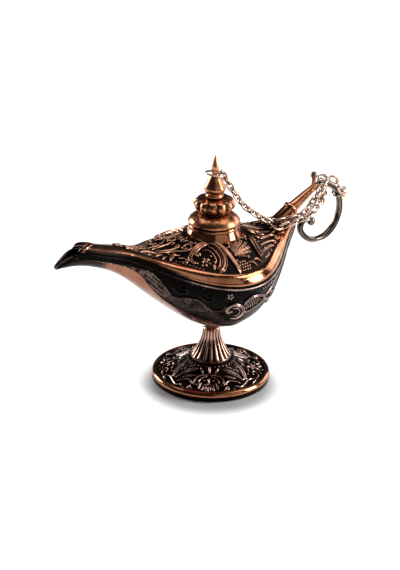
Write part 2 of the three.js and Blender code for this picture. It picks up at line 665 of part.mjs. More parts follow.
function makeLink(inner) {
  const bow = (linkWidth - wire) / 2;
  const straight = (inner + wire) / 2 - bow;
  const rings = [];
  for (const side of [1, -1]) {
    for (const angle of [-90, -45, 0, 45, 90]) {
      const turn = radians(angle);
      const out = new THREE.Vector3(side * Math.cos(turn), side * Math.sin(turn), 0);
      const point = out.clone().multiplyScalar(bow).setX(side * (straight + bow * Math.cos(turn)));
      rings.push(Array.from({ length: 5 }, (_, j) => {
        const round = (2 * Math.PI * j) / 5;
        const corner = point.clone().addScaledVector(out, (wire / 2) * Math.cos(round));
        return corner.setZ((wire / 2) * Math.sin(round));
      }));
    }
  }
  return loft(rings, true);
}

function makeRing(name, { radius, middle, axis }) {
  const ring = piece(name, toSolid(new THREE.TorusGeometry(radius, wire / 2, 5, 14)), chainMetal);
  ring.position.copy(middle);
  ring.quaternion.setFromUnitVectors(new THREE.Vector3(0, 0, 1), axis);
  return ring;
}

// Where a run hooks on a ring: the middle of its wire and the wire's direction there
function hookOn({ radius, middle, axis }, towards) {
  const out = towards.clone().projectOnPlane(axis).normalize();
  return { point: out.clone().multiplyScalar(radius).add(middle), wire: axis.clone().cross(out) };
}

// Links from one hook to another, each a quarter turn from the last and square to the rings' wires
function makeRun(name, from, to, between) {
  const path = new THREE.CatmullRomCurve3([from.point, ...between, to.point], false, "centripetal");
  const hook = (linkPitch - wire) / 2;
  const length = path.getLength();
  const spaces = Math.round((length - 2 * hook) / linkPitch);
  const pitch = (length - 2 * hook) / spaces;
  const link = makeLink(pitch + linkSlack);
  const places = Array.from({ length: spaces + 1 }, (_, i) => {
    const along = path.getTangentAt((hook + i * pitch) / length);
    const level = new THREE.Vector3(0, 0, 1).projectOnPlane(along).normalize();
    const cross = new THREE.Vector3().crossVectors(level, along);
    return { point: path.getPointAt((hook + i * pitch) / length), along, cross, level };
  });
  const rollTo = ({ cross, level }, direction) => Math.atan2(-direction.dot(cross), direction.dot(level));
  const firstRoll = rollTo(places[0], from.wire);
  const lastRoll = rollTo(places[spaces], to.wire);
  const surplus = lastRoll - firstRoll - (spaces * Math.PI) / 2;
  const twist = surplus - Math.PI * Math.round(surplus / Math.PI);
  return places.map(({ point, along, cross, level }, i) => {
    const roll = firstRoll + (i * Math.PI) / 2 + (twist * i) / spaces;
    const turn = new THREE.Matrix4().makeBasis(along, cross, level);
    turn.multiply(new THREE.Matrix4().makeRotationX(roll));
    const mesh = piece(`${name}_${String(i + 1).padStart(2, "0")}`, link, chainMetal);
    mesh.position.copy(point);
    mesh.quaternion.setFromRotationMatrix(turn);
    return mesh;
  });
}

function makeChain(finialBase) {
  const vector = (x, y, z) => new THREE.Vector3(x, y, z);
  const tilt = radians(finialRingTilt);
  const finialRing = {
    radius: finialRingRadius,
    middle: vector(0, 0, finialBase + finialNeckHeight - 0.2),
    axis: vector(Math.sin(tilt), 0, Math.cos(tilt)),
  };
  const junctionRing = {
    radius: junctionRingRadius,
    middle: vector(junctionX, junctionY, deckHeight(junctionX, junctionY, 0) + seatGap + junctionRise),
    axis: vector(0.1, -0.5, 0.86).normalize(),
  };
  const keeperRing = {
    radius: scrollRingRadius,
    middle: besideScroll(90, 0, -scrollRingSag),
    axis: vector(1, 0, 0),
  };
  const spurRing = {
    radius: scrollRingRadius,
    middle: besideScroll(spurRingAngle, scrollRingSag),
    axis: vector(Math.sin(radians(spurRingAngle)), 0, -Math.cos(radians(spurRingAngle))),
  };

  const neck = radians(neckSlope);
  const besideBead = neckBeadRadius + linkWidth / 2 + 0.6;
  const innerSag = vector(neckRoot.x + neckLength * Math.cos(neck), -besideBead,
    neckRoot.z + neckLength * Math.sin(neck) - 0.6);
  const apart = vector(-0.32, -0.94, 0.13).multiplyScalar(slingSpread);
  const outerSag = innerSag.clone().add(apart);
  const outerEnd = hookOn(keeperRing, vector(0, -0.6, -0.8));
  const outerRise = outerSag.clone().lerp(outerEnd.point, 0.55).addScaledVector(apart, 0.85);
  const lidStart = hookOn(finialRing, vector(1, 0, 0));
  const lidEnd = hookOn(junctionRing, vector(-0.8, 0.3, 0.5));
  const lidSag = lidStart.point.clone().lerp(lidEnd.point, 0.5);
  lidSag.addScaledVector(vector(0, -0.25, -1), lidRunSag);
  lidSag.setX(knopRadius + linkWidth / 2 + lidRunClear);
  const besideWire = -(scrollBreadth + linkWidth / 2 + slideGap);
  const spurWay = [besideScroll(74, 4 * endRunReach, 0.3 * besideWire),
    besideScroll(58, 2.5 * endRunReach, 0.9 * besideWire), besideScroll(46, endRunReach, besideWire)];

  return [
    makeRing("finial_ring", finialRing),
    makeRing("junction_ring", junctionRing),
    makeRing("keeper_ring", keeperRing),
    makeRing("spur_ring", spurRing),
    ...makeRun("lid_link", lidStart, lidEnd, [lidSag]),
    ...makeRun("inner_link", hookOn(junctionRing, vector(0.85, 0.53, 0)),
      hookOn(keeperRing, vector(0, -0.8, 0.6)), [innerSag]),
    ...makeRun("outer_link", hookOn(junctionRing, vector(0.8, -0.6, -0.2)), outerEnd,
      [outerSag, outerRise]),
    ...makeRun("end_link", hookOn(keeperRing, vector(0, 0.4, 0.9)),
      hookOn(spurRing, vector(0.2, -1, 0)), spurWay),
  ];
}

function lift(mesh, height) {
  mesh.position.z += height;
  return mesh;
}

function makeLamp() {
  const body = new THREE.Group();
  body.position.z = footSeatHeight + stemHeight;
  const lidBase = collarHeight + 2 * seatGap;
  const knopBase = lidBase + lidDomeHeight + seatGap;
  const finialBase = knopBase + knopHeight + seatGap;
  body.add(piece("hull", makeHull(), darkCopper), piece("deck", makeDeck(), copper),
    piece("scroll_handle", makeScroll(), bronze), piece("incense_cup", makeCup(), brass),
    lift(piece("lid_cap", makeLidCap(), copper), lidBase),
    lift(piece("lid_knop", makeKnop(), copper), knopBase),
    lift(piece("finial", makeFinial(), copper), finialBase),
    lift(piece("finial_nut", makeNut(), steel), lidBase + lidRecessDepth - seatGap - nutHeight),
    ...makeChain(finialBase));

  const lamp = new THREE.Group();
  lamp.name = "genie_lamp";
  lamp.add(body, piece("foot", makeFoot(), darkCopper),
    lift(piece("fluted_stem", makeStem(), copper), footSeatHeight + seatGap),
    piece("stem_screw", makeScrew(), steel));
  const box = new THREE.Box3().setFromObject(lamp, true);
  for (const child of lamp.children) child.position.x -= (box.min.x + box.max.x) / 2;
  return lamp;
}

export default makeLamp();
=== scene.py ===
import bpy
import bmesh
import json
import math
import numpy as np
from mathutils import Matrix, Vector


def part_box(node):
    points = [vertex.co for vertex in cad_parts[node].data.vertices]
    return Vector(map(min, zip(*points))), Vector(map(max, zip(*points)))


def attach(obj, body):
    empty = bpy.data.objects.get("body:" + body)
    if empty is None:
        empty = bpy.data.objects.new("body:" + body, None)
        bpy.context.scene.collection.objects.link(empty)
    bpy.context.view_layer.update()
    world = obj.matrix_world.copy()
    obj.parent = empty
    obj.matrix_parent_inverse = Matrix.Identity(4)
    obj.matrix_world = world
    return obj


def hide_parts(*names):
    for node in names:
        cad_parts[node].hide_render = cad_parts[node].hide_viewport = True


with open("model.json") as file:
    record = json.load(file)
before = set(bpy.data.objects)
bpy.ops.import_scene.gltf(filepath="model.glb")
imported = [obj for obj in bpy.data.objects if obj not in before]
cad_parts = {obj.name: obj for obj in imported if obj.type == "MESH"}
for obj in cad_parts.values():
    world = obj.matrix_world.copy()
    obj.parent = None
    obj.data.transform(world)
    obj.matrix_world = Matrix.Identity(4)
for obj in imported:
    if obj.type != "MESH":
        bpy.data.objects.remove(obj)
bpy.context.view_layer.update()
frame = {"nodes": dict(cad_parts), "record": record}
scene = bpy.context.scene
scene.view_settings.view_transform = "Standard"
footLow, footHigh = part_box("foot")
stemX = (footLow[0] + footHigh[0]) / 2  # the stem's axis, metres
mm = 0.001  # shapes below are in mm, from the stem's axis and the table
print("frame loaded, stem axis at", round(stemX, 5))

# camera
shot = {
    "azimuth": -40, "elevation": 24, "roll": 1.3, "distance": 0.7, "aimHeight": 0.04, "sensor": 36,
    "picture": (400, 570), "mmPerPixel": 0.325, "aimPixel": (213, 265.6),  # the aim point in the picture
}


def makeCamera():
    turn, tilt = math.radians(shot["azimuth"]), math.radians(shot["elevation"])
    back = Vector((math.sin(turn) * math.cos(tilt), -math.cos(turn) * math.cos(tilt), math.sin(tilt)))
    (wide, tall), (aimX, aimY) = shot["picture"], shot["aimPixel"]
    lens = bpy.data.cameras.new("photoCamera")
    lens.sensor_width = shot["sensor"]
    lens.lens = shot["sensor"] * shot["distance"] / (tall * shot["mmPerPixel"] * mm)
    lens.shift_x = (wide / 2 - aimX) / tall
    lens.shift_y = (aimY - tall / 2) / tall
    camera = bpy.data.objects.new("photoCamera", lens)
    scene.collection.objects.link(camera)
    spot = Vector((stemX, 0, shot["aimHeight"])) + back * shot["distance"]
    facing = back.to_track_quat("Z", "Y").to_matrix().to_4x4()
    roll = Matrix.Rotation(math.radians(shot["roll"]), 4, "Z")
    camera.matrix_world = Matrix.Translation(spot) @ facing @ roll
    scene.camera = camera


makeCamera()
print("camera placed")

# mesh helpers: a skin gathers grids of points, with a rise of 0 in recesses to 1 on rubbed crests
weld = {"seam": 2e-6, "sliver": 1e-7}  # metres within which a piece's points are joined


def newSkin():
    return {"points": [], "faces": [], "rise": [], "count": 0}


def addGrid(skin, grid, rise, along=False, across=False, facing=None, skip=None):
    grid = np.asarray(grid, float)
    rows, cols = grid.shape[:2]
    steps = np.arange(rows if along else rows - 1), np.arange(cols if across else cols - 1)
    i, j = (index.ravel() for index in np.meshgrid(*steps, indexing="ij"))
    iNext, jNext = (i + 1) % rows, (j + 1) % cols
    quads = np.stack([i * cols + j, iNext * cols + j, iNext * cols + jNext, i * cols + jNext], 1)
    flat = grid.reshape(-1, 3)
    if skip is not None:
        quads = quads[~skip(flat[quads].mean(1))]
    if facing is not None:
        normal = np.cross(flat[quads[:, 2]] - flat[quads[:, 0]], flat[quads[:, 3]] - flat[quads[:, 1]])
        if np.sum(normal * np.broadcast_to(facing, grid.shape).reshape(-1, 3)[quads[:, 0]]) < 0:
            quads = quads[:, ::-1]
    skin["faces"].extend((quads + skin["count"]).tolist())
    skin["points"].append(flat)
    skin["rise"].append(np.broadcast_to(np.asarray(rise, float), (rows, cols)).reshape(-1))
    skin["count"] += rows * cols


def addCap(skin, ring, rise):
    ring = np.asarray(ring, float)
    hub = skin["count"] + len(ring)
    skin["points"].append(np.vstack([ring, ring.mean(0)]))
    skin["rise"].append(np.full(len(ring) + 1, float(rise)))
    for k in range(len(ring)):
        skin["faces"].append([skin["count"] + k, skin["count"] + (k + 1) % len(ring), hub])
    skin["count"] += len(ring) + 1


def makePiece(name, skin, material, bodyName, nodes=(), sharp=38, outward=True):
    mesh = bpy.data.meshes.new(name)
    points = np.concatenate(skin["points"]) * mm + np.array([stemX, 0, 0])
    mesh.from_pydata(points.tolist(), [], skin["faces"])
    rise = mesh.attributes.new("rise", "FLOAT", "POINT")
    rise.data.foreach_set("value", np.concatenate(skin["rise"]))
    work = bmesh.new()
    work.from_mesh(mesh)
    bmesh.ops.remove_doubles(work, verts=work.verts, dist=weld["seam"])
    bmesh.ops.dissolve_degenerate(work, edges=work.edges, dist=weld["sliver"])
    if outward:
        bmesh.ops.recalc_face_normals(work, faces=work.faces)
    work.to_mesh(mesh)
    work.free()
    mesh.shade_smooth()
    mesh.set_sharp_from_angle(angle=math.radians(sharp))
    mesh.materials.append(material)
    piece = bpy.data.objects.new(name, mesh)
    scene.collection.objects.link(piece)
    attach(piece, bodyName)
    if nodes:
        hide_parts(*nodes)
    return piece


def unit(rows):
    rows = np.asarray(rows, float)
    return rows / np.maximum(np.linalg.norm(rows, axis=-1, keepdims=True), 1e-12)


def ease(value):
    value = np.clip(value, 0, 1)
    return value * value * (3 - 2 * value)


# natural cubic line through (x, y) pairs
def smoothLine(pairs):
    xs, ys = np.array(pairs, float).T
    n, step = len(xs), np.diff(xs)
    system, right = np.eye(n), np.zeros(n)
    for i in range(1, n - 1):
        system[i, i - 1:i + 2] = step[i - 1], 2 * (step[i - 1] + step[i]), step[i]
        right[i] = 6 * ((ys[i + 1] - ys[i]) / step[i] - (ys[i] - ys[i - 1]) / step[i - 1])
    bend = np.linalg.solve(system, right)

    def line(x):
        x = np.clip(np.asarray(x, float), xs[0], xs[-1])
        i = np.clip(np.searchsorted(xs, x) - 1, 0, n - 2)
        before, after, span = x - xs[i], xs[i + 1] - x, step[i]
        fromLeft = (ys[i] / span - bend[i] * span / 6) * after
        fromRight = (ys[i + 1] / span - bend[i + 1] * span / 6) * before
        return (bend[i] * after ** 3 + bend[i + 1] * before ** 3) / (6 * span) + fromLeft + fromRight
    return line


# evenly spaced points, six or more, of a rounded path through the given ones
def roundedPath(points, spacing):
    points = np.array(points, float)
    if len(points) == 2:
        points = np.vstack([points[0], points.mean(0), points[1]])
    ends = np.vstack([2 * points[0] - points[1], points, 2 * points[-1] - points[-2]])
    fine = []
    for a, b, c, d in zip(ends, ends[1:], ends[2:], ends[3:]):
        for t in np.arange(0, 1, 0.05):
            fine.append(0.5 * (2 * b + (c - a) * t + (2 * a - 5 * b + 4 * c - d) * t * t
                               + (3 * b - a - 3 * c + d) * t ** 3))
    fine = np.array(fine + [points[-1]])
    travel = np.concatenate([[0], np.cumsum(np.linalg.norm(np.diff(fine, axis=0), axis=1))])
    count = max(6, int(math.ceil(travel[-1] / spacing)) + 1)
    goal = np.linspace(0, travel[-1], count)
    return np.stack([np.interp(goal, travel, fine[:, k]) for k in range(points.shape[1])], 1)


# levels of radius, height, rise and, for lobes, groove depth, turned about the stem's axis
def addLathe(skin, levels, base, sides, lobes=0, shade=1.0):
    levels = np.array(levels, float)
    turn = np.linspace(0, 2 * math.pi, sides, endpoint=False)
    radius, height, tone = (np.repeat(levels[:, k:k + 1], sides, 1) for k in range(3))
    if lobes:
        groove = 1 - np.abs(np.sin(lobes * turn / 2))
        depth = levels[:, 3:]
        radius = radius - depth * groove
        tone = np.where(depth > 0, tone * (1 - shade * ease(groove * 1.5)), tone)
    grid = np.stack([radius * np.cos(turn), radius * np.sin(turn), base + height], -1)
    addGrid(skin, grid, tone, across=True)


# levels of radius, distance along and rise, turned about a line in the plane of the scroll
def addTurned(skin, levels, spot, way, sides):
    turn = np.linspace(0, 2 * math.pi, sides, endpoint=False)
    up, over = np.array([-way[1], 0, way[0]]), np.array([0, 1, 0])
    ring = np.cos(turn)[:, None] * up + np.sin(turn)[:, None] * over
    start, ahead = np.array([spot[0], 0, spot[1]]), np.array([way[0], 0, way[1]])
    grid = [start + ahead * along + ring * radius for radius, along, _ in levels]
    addGrid(skin, grid, np.array(levels, float)[:, 2:], across=True)


# the body's lines
bowl = {
    "lift": 20.2, "deckGap": 0.3, "wall": 1.5, "mouthWall": 0.8, "leastHalf": 0.3, "cavityEnd": 24,
    "bandStep": 0.5, "bandFlat": 0.5, "flatStart": -32, "flatRun": 16,  # flatter round the bowl
    "sternStart": 28, "sternRun": 5.6,  # the deck dies into the stern
    # x, half width, keel, rim, crown, and the rim band's rise and width
    "stations": [
        (-62.8, 0.7, 35.3, 36.1, 39.5, 2.3, 4), (-56.02, 2.4, 34.8, 39.1, 41.4, 2.3, 4),
        (-47.98, 3.7, 32.4, 37.2, 39.6, 2.4, 4), (-37.99, 4.7, 26.8, 33.6, 36.2, 2.7, 4),
        (-28.01, 9.8, 18.2, 28.7, 32, 3.2, 3.9), (-18.02, 16.8, 9.6, 24.5, 30.6, 3.5, 3.2),
        (-7.98, 21.2, 2.4, 21.9, 32, 3.5, 2.5), (1.02, 22, 0, 21.2, 33, 3.5, 2.5),
        (11.02, 18.4, 2.2, 22, 31, 3.4, 3), (19.99, 11.8, 7.2, 23.8, 27.8, 3, 3.8),
        (28.02, 5.7, 15, 26.8, 29, 2.5, 4), (34, 2.2, 22.8, 29.5, 31.8, 2.3, 4)],
}
halfAt, keelAt, rimAt, crownAt, bandAt, bandWidthAt = [
    smoothLine([(row[0], row[k]) for row in bowl["stations"]]) for k in range(1, 7)]
tipX, mouthX, throatX = [row[0] for row in bowl["stations"][:3]]
sternX = bowl["stations"][-1][0]
deckBase = bowl["lift"] + bowl["deckGap"]
near, nearTurn = 0.1, 0.01  # mm and radians to either side, for slopes


def wallAt(x):
    t = np.clip((x - mouthX) / (throatX - mouthX), 0, 1)
    return bowl["mouthWall"] + (bowl["wall"] - bowl["mouthWall"]) * t


def halfInside(x, inset=0.0):
    return np.maximum(halfAt(x) - inset, bowl["leastHalf"])


# places along the body, closer together at both ends
def alongBody(start, end, count):
    t = np.linspace(0, 1, count)
    return start + (end - start) * (t - np.sin(2 * math.pi * t) / 14)


def deckHeight(x, y, inset=0.0):
    half = halfInside(x, inset)
    edge = np.maximum(half - np.abs(y), 0)
    band = np.minimum(bandWidthAt(x), half)
    fall = 1 - np.minimum(edge / band, 1)
    bend = 2 - bowl["bandFlat"] * ease((np.asarray(x) - bowl["flatStart"]) / bowl["flatRun"])
    low = rimAt(x) + (bandAt(x) - inset) * np.clip(1 - fall ** bend, 0, 1) ** (1 / bend)
    field = rimAt(x) + bandAt(x) - bowl["bandStep"] - inset
    share = np.clip((edge - band) / np.maximum(half - band, 1e-6), 0, 1)
    high = field + (crownAt(x) - inset - field) * (1 - (1 - share) ** 2)
    z = np.where(edge <= band, low, high)
    close = np.sqrt(np.clip(1 - ((x - bowl["sternStart"]) / bowl["sternRun"]) ** 2, 0, 1))
    return np.where(x > bowl["sternStart"], rimAt(x) + (z - rimAt(x)) * close, z) + deckBase


def hullPoint(x, turn, inset=0.0):
    depth = np.maximum(rimAt(x) - keelAt(x) - inset, bowl["leastHalf"])
    z = rimAt(x) - depth * np.sin(turn) + bowl["lift"]
    return np.stack([x, -halfInside(x, inset) * np.cos(turn), z], -1)


# where a drawn path lies: points on a surface and the way out of it
def deckSpots(path):
    x, y = path[:, 0], path[:, 1]
    dx = (deckHeight(x + near, y) - deckHeight(x - near, y)) / (2 * near)
    dy = (deckHeight(x, y + near) - deckHeight(x, y - near)) / (2 * near)
    return np.stack([x, y, deckHeight(x, y)], 1), unit(np.stack([-dx, -dy, np.ones_like(x)], 1))


def hullSpots(path):
    x, turn = path[:, 0], path[:, 1] * math.pi / 2
    ahead = hullPoint(x + near, turn) - hullPoint(x - near, turn)
    down = hullPoint(x, turn + nearTurn) - hullPoint(x, turn - nearTurn)
    out = unit(np.cross(ahead, down))
    point = hullPoint(x, turn)
    middle = np.stack([x, 0 * x, rimAt(x) + bowl["lift"]], 1)
    return point, out * np.sign(np.sum(out * (point - middle), 1, keepdims=True))


foot = {
    "radius": 19.6, "rimHeight": 3.2, "rimWidth": 1.7, "seatHeight": 7.3, "seatRadius": 7.2, "bore": 1.5,
    "sides": 160, "fieldDrop": 0.5, "fieldCurve": 1.8, "fieldTone": 0.03, "fieldSteps": 22,
    "seatTones": (0.2, 0.3),
    "facing": -132.3,  # degrees, of the palmette towards the viewer
    # radius, height and rise: the rim from its inner and its outer edge, its side, the hollow under the dish
    "rimIn": [(0.05, -0.3, 0.3), (0.14, -0.06, 0.9), (0.34, 0.02, 1), (0.62, -0.02, 1)],
    "rimOut": [(-0.72, -0.14, 1), (-0.42, -0.34, 1), (-0.2, -0.62, 1), (-0.06, -0.98, 1), (0, -1.4, 0.7),
               (-0.02, -1.55, 0.2)],
    "side": [(-0.03, 0.6, 0.26), (-0.15, 0.25, 0.3), (-0.5, 0, 0.4)],
    "under": [(16.6, 0, 0.4), (15.8, 2.4, 0.1), (3.4, 2.4, 0.1), (2.8, 3, 0.1), (2.8, 4.9, 0), (1.5, 4.9, 0)],
}


def footHeight(radius):
    field = foot["rimHeight"] - foot["fieldDrop"]
    run = foot["radius"] - foot["rimWidth"] - foot["seatRadius"]
    t = np.clip((radius - foot["seatRadius"]) / run, 0, 1)
    return field + (foot["seatHeight"] - field) * (1 - t) ** foot["fieldCurve"]


def footSpots(path):
    radius, turn = path[:, 0], np.radians(path[:, 1])
    slope = (footHeight(radius + near / 2) - footHeight(radius - near / 2)) / near
    point = np.stack([radius * np.cos(turn), radius * np.sin(turn), footHeight(radius)], 1)
    return point, unit(np.stack([-slope * np.cos(turn), -slope * np.sin(turn), np.ones_like(radius)], 1))


# the worn inner edge of the mouth leans forward
def mouthSpots(path):
    z = deckHeight(path[:, 0], path[:, 1], wallAt(path[:, 0]))
    return np.column_stack([path, z]), np.broadcast_to(unit(deck["mouthLean"]), (len(path), 3))


# relief: raised lines and beads on a surface, their edges sunk in the ground
surfaces = {  # where a path lies, and how many mm its two units are
    "deck": (deckSpots, (1, 1)), "mouth": (mouthSpots, (1, 1)),
    "hull": (hullSpots, (1, 30)), "foot": (footSpots, (1, 0.22)),
}
relief = {"step": 0.35, "sunk": 0.14, "crest": 1.3,
          "beadSides": 10, "beadTilts": [-25, 5, 35, 62, 89], "beadTones": [0, 0.2, 0.6, 0.9, 1]}
acrossRidge = np.linspace(-1, 1, 11)
crossSections = {
    "round": (1 - acrossRidge ** 2) ** 0.55,
    "double": (1 - acrossRidge ** 2) ** 0.4 - 0.42 * np.exp(-(acrossRidge / 0.24) ** 2),
    "triple": (1 - acrossRidge ** 2) ** 0.35 - 0.45 * np.exp(-((np.abs(acrossRidge) - 0.38) / 0.14) ** 2),
    "ribbon": np.where(np.abs(acrossRidge) > 0.95, 0, 0.72 + 0.28 * np.abs(acrossRidge) ** 4),
    "leaf": (1 - np.abs(acrossRidge) ** 1.7) * (1 - 0.45 * np.exp(-(acrossRidge / 0.2) ** 2)),
}
crossSections["fan"] = crossSections["leaf"]


def swellOf(kind, s):
    if kind == "leaf":  # widest in the middle
        return np.clip(np.sin(math.pi * np.clip(s * 0.97 + 0.02, 0, 1)), 0.05, 1) ** 0.75
    if kind == "fan":  # narrow at the root, blunt at the tip
        return (0.2 + 0.8 * s) * np.concatenate([np.ones(len(s) - 2), [0.9, 0.45]])
    return np.sqrt(np.clip(np.minimum(s / 0.14, (1 - s) / 0.1), 0.06, 1))  # even, drawn in at both ends


def carvedPath(where, points):
    scale = np.array(surfaces[where][1])
    return roundedPath(np.array(points, float) * scale, relief["step"]) / scale


def addRidge(skin, where, points, width, height, kind="round", tone=1.0):
    point, out = surfaces[where][0](carvedPath(where, points))
    size = swellOf(kind, np.linspace(0, 1, len(point)))
    side = unit(np.cross(out, unit(np.gradient(point, axis=0))))
    profile = crossSections[kind]
    lift = profile[None, :] * height * size[:, None] ** 0.7 - relief["sunk"] * (np.abs(acrossRidge) > 0.99)
    spread = acrossRidge[None, :] * (width * size)[:, None]
    grid = point[:, None] + side[:, None] * spread[..., None] + out[:, None] * lift[..., None]
    crest = np.clip(profile / profile.max(), 0, 1) ** relief["crest"]
    addGrid(skin, grid, crest[None, :] * np.broadcast_to(tone, len(point))[:, None], facing=out[:, None])


def addBead(skin, where, place, radius, tone=1.0, tall=0.8):
    point, out = (rows[0] for rows in surfaces[where][0](np.array([place], float)))
    side = unit(np.cross(out, (0.31, 0.77, 0.2)))  # any way that is not straight out
    turn = np.linspace(0, 2 * math.pi, relief["beadSides"], endpoint=False)
    ring = np.cos(turn)[:, None] * side + np.sin(turn)[:, None] * np.cross(out, side)
    grid = [point + ring * radius * math.cos(tilt) + out * radius * tall * math.sin(tilt)
            for tilt in np.radians(relief["beadTilts"])]
    addGrid(skin, grid, np.array(relief["beadTones"])[:, None] * tone, across=True, facing=out)


# a carving's strokes: kind, width, height, path, end bead and, if it is not 1, tone
def addStrokes(skin, where, strokes, lay, tall=0.8):
    for kind, width, height, path, bead, *tone in strokes:
        addRidge(skin, where, lay(path), width, height, kind, *tone)
        if bead:
            addBead(skin, where, lay(path)[-1], bead, *tone, tall=tall)


def inside(corners, x, y):
    hit = False
    for (ax, ay), (bx, by) in zip(corners, corners[1:] + corners[:1]):
        if (ay > y) != (by > y) and x < (bx - ax) * (y - ay) / (by - ay) + ax:
            hit = not hit
    return hit


# a net of beads in a field with the given corners
def addNet(skin, where, net, lay):
    (x, y), (stepX, stepY) = net["start"], net["pitch"]
    for row in range(net["rows"]):
        for k in range(net["cols"]):
            place = x + stepX * (k + 0.5 * (row % 2)), y + stepY * row
            if inside(net["corners"], *place):
                addBead(skin, where, lay([place])[0], net["bead"])


# petals about a middle, each from the inner to the outer reach
def addFlower(skin, where, flower, lay):
    for k in range(flower["petals"]):
        turn = 2 * math.pi * k / flower["petals"] + flower["turn"]
        way = np.array([math.cos(turn), math.sin(turn)])
        petal = [way * reach + flower["middle"] for reach in flower["reach"]]
        addRidge(skin, where, lay(petal), flower["width"], flower["height"], "leaf", flower["tone"])


# finishes
def setInputs(tree, node, inputs):
    for key, value in inputs.items():
        if isinstance(value, bpy.types.NodeSocket):
            tree.links.new(value, node.inputs[key])
        else:
            node.inputs[key].default_value = value


def addNode(tree, kind, inputs=None, **settings):
    node = tree.nodes.new(kind)
    for key, value in settings.items():
        setattr(node, key, value)
    setInputs(tree, node, inputs or {})
    return node


def mathNode(tree, operation, *values, clamp=False):
    node = addNode(tree, "ShaderNodeMath", dict(enumerate(values)), operation=operation, use_clamp=clamp)
    return node.outputs[0]


def mixColor(tree, factor, first, second):
    return addNode(tree, "ShaderNodeMix", {0: factor, 6: first, 7: second}, data_type="RGBA").outputs[2]


def noiseNode(tree, place, scale, detail):
    inputs = {"Vector": place, "Scale": scale, "Detail": detail}
    return addNode(tree, "ShaderNodeTexNoise", inputs).outputs["Fac"]


def rangeNode(tree, value, low, high, top=1.0, smooth=False):
    limits = {"Value": value, "From Min": low, "From Max": high, "To Max": top}
    slope = "SMOOTHSTEP" if smooth else "LINEAR"
    return addNode(tree, "ShaderNodeMapRange", limits, interpolation_type=slope).outputs[0]


def newGroup(name, inputs, outputs):
    group = bpy.data.node_groups.new(name, "ShaderNodeTree")
    for label, kind, value in inputs:
        socket = group.interface.new_socket(label, in_out="INPUT", socket_type="NodeSocket" + kind)
        socket.default_value = value
    for label, kind in outputs:
        group.interface.new_socket(label, in_out="OUTPUT", socket_type="NodeSocket" + kind)
    return group, group.nodes.new("NodeGroupInput").outputs, group.nodes.new("NodeGroupOutput")


# patina left in the recesses, copper rubbed bright on the crests
rubbing = {"broad": (160, 3.0), "fine": (1500, 4.0), "rubbed": (0.25, 0.75), "tone": (0.35, 0.68)}


def makeRubbedGroup():
    group, given, result = newGroup("rubbedPatina", [
        ("Bright", "Color", (0.6, 0.28, 0.15, 1)), ("Deep", "Color", (0.2, 0.08, 0.045, 1)),
        ("Patina", "Color", (0.015, 0.011, 0.01, 1)), ("Rub", "Float", 0.0), ("Blotch", "Float", 0.35),
        ("Speckle", "Float", 0.5),
    ], [("Color", "Color"), ("Rubbed", "Float"), ("Tone", "Float")])
    place = addNode(group, "ShaderNodeTexCoord").outputs["Object"]
    rise = addNode(group, "ShaderNodeAttribute", attribute_name="rise").outputs["Fac"]
    broad, fine = (noiseNode(group, place, *rubbing[size]) for size in ("broad", "fine"))
    broadSwing, fineSwing = (mathNode(group, "SUBTRACT", noise, 0.5) for noise in (broad, fine))
    blotches = mathNode(group, "MULTIPLY", broadSwing, given["Blotch"])
    grainy = mathNode(group, "MULTIPLY_ADD", fineSwing, given["Speckle"], blotches)
    level = mathNode(group, "ADD", mathNode(group, "ADD", rise, grainy), given["Rub"])
    rubbed = rangeNode(group, level, *rubbing["rubbed"], smooth=True)
    tone = rangeNode(group, broad, *rubbing["tone"])
    metal = mixColor(group, tone, given["Deep"], given["Bright"])
    color = mixColor(group, rubbed, given["Patina"], metal)
    setInputs(group, result, {"Color": color, "Rubbed": rubbed, "Tone": tone})
    return group


# hairline handling marks and casting grain
handling = {"turn": (0.4, 0.2, 0.9), "stretch": (60, 2400, 900), "marks": (0.62, 0.72), "pitScale": 1400,
            "pits": (0.0, 0.35), "markRough": 0.25, "grainRough": 0.3}


def makeGrainGroup():
    group, given, result = newGroup("handledGrain", [
        ("Grain Size", "Float", 900.0), ("Scratches", "Float", 0.5), ("Pitting", "Float", 0.3),
    ], [("Height", "Float"), ("Roughness", "Float")])
    place = addNode(group, "ShaderNodeTexCoord").outputs["Object"]
    grain = noiseNode(group, place, given["Grain Size"], 5.0)
    drawn = addNode(group, "ShaderNodeMapping", {
        "Vector": place, "Rotation": handling["turn"], "Scale": handling["stretch"]}).outputs[0]
    marks = rangeNode(group, noiseNode(group, drawn, 1.0, 2.0), *handling["marks"])
    cells = addNode(group, "ShaderNodeTexVoronoi", {"Vector": place, "Scale": handling["pitScale"]})
    hollow = rangeNode(group, cells.outputs["Distance"], *handling["pits"])
    cut = mathNode(group, "MULTIPLY", given["Scratches"], -1)
    height = mathNode(group, "MULTIPLY_ADD", marks, cut, grain)
    height = mathNode(group, "MULTIPLY_ADD", hollow, given["Pitting"], height)
    uneven = mathNode(group, "MULTIPLY", mathNode(group, "SUBTRACT", grain, 0.5), handling["grainRough"])
    scratched = mathNode(group, "MULTIPLY", marks, given["Scratches"])
    rough = mathNode(group, "MULTIPLY_ADD", scratched, handling["markRough"], uneven)
    setInputs(group, result, {"Height": height, "Roughness": rough})
    return group


rubbedGroup, grainGroup = makeRubbedGroup(), makeGrainGroup()
plainFinish = {  # what a finish has unless it says otherwise
    "rub": 0, "blotch": 0.35, "speckle": 0.5, "grain": 900, "scratches": 0.4, "bump": 0.25,
    "bumpDepth": 0.00012,  # metres
    "pitting": 0.8, "pitsRubbed": 0.85,  # the share of the pits that rubbing takes away
}


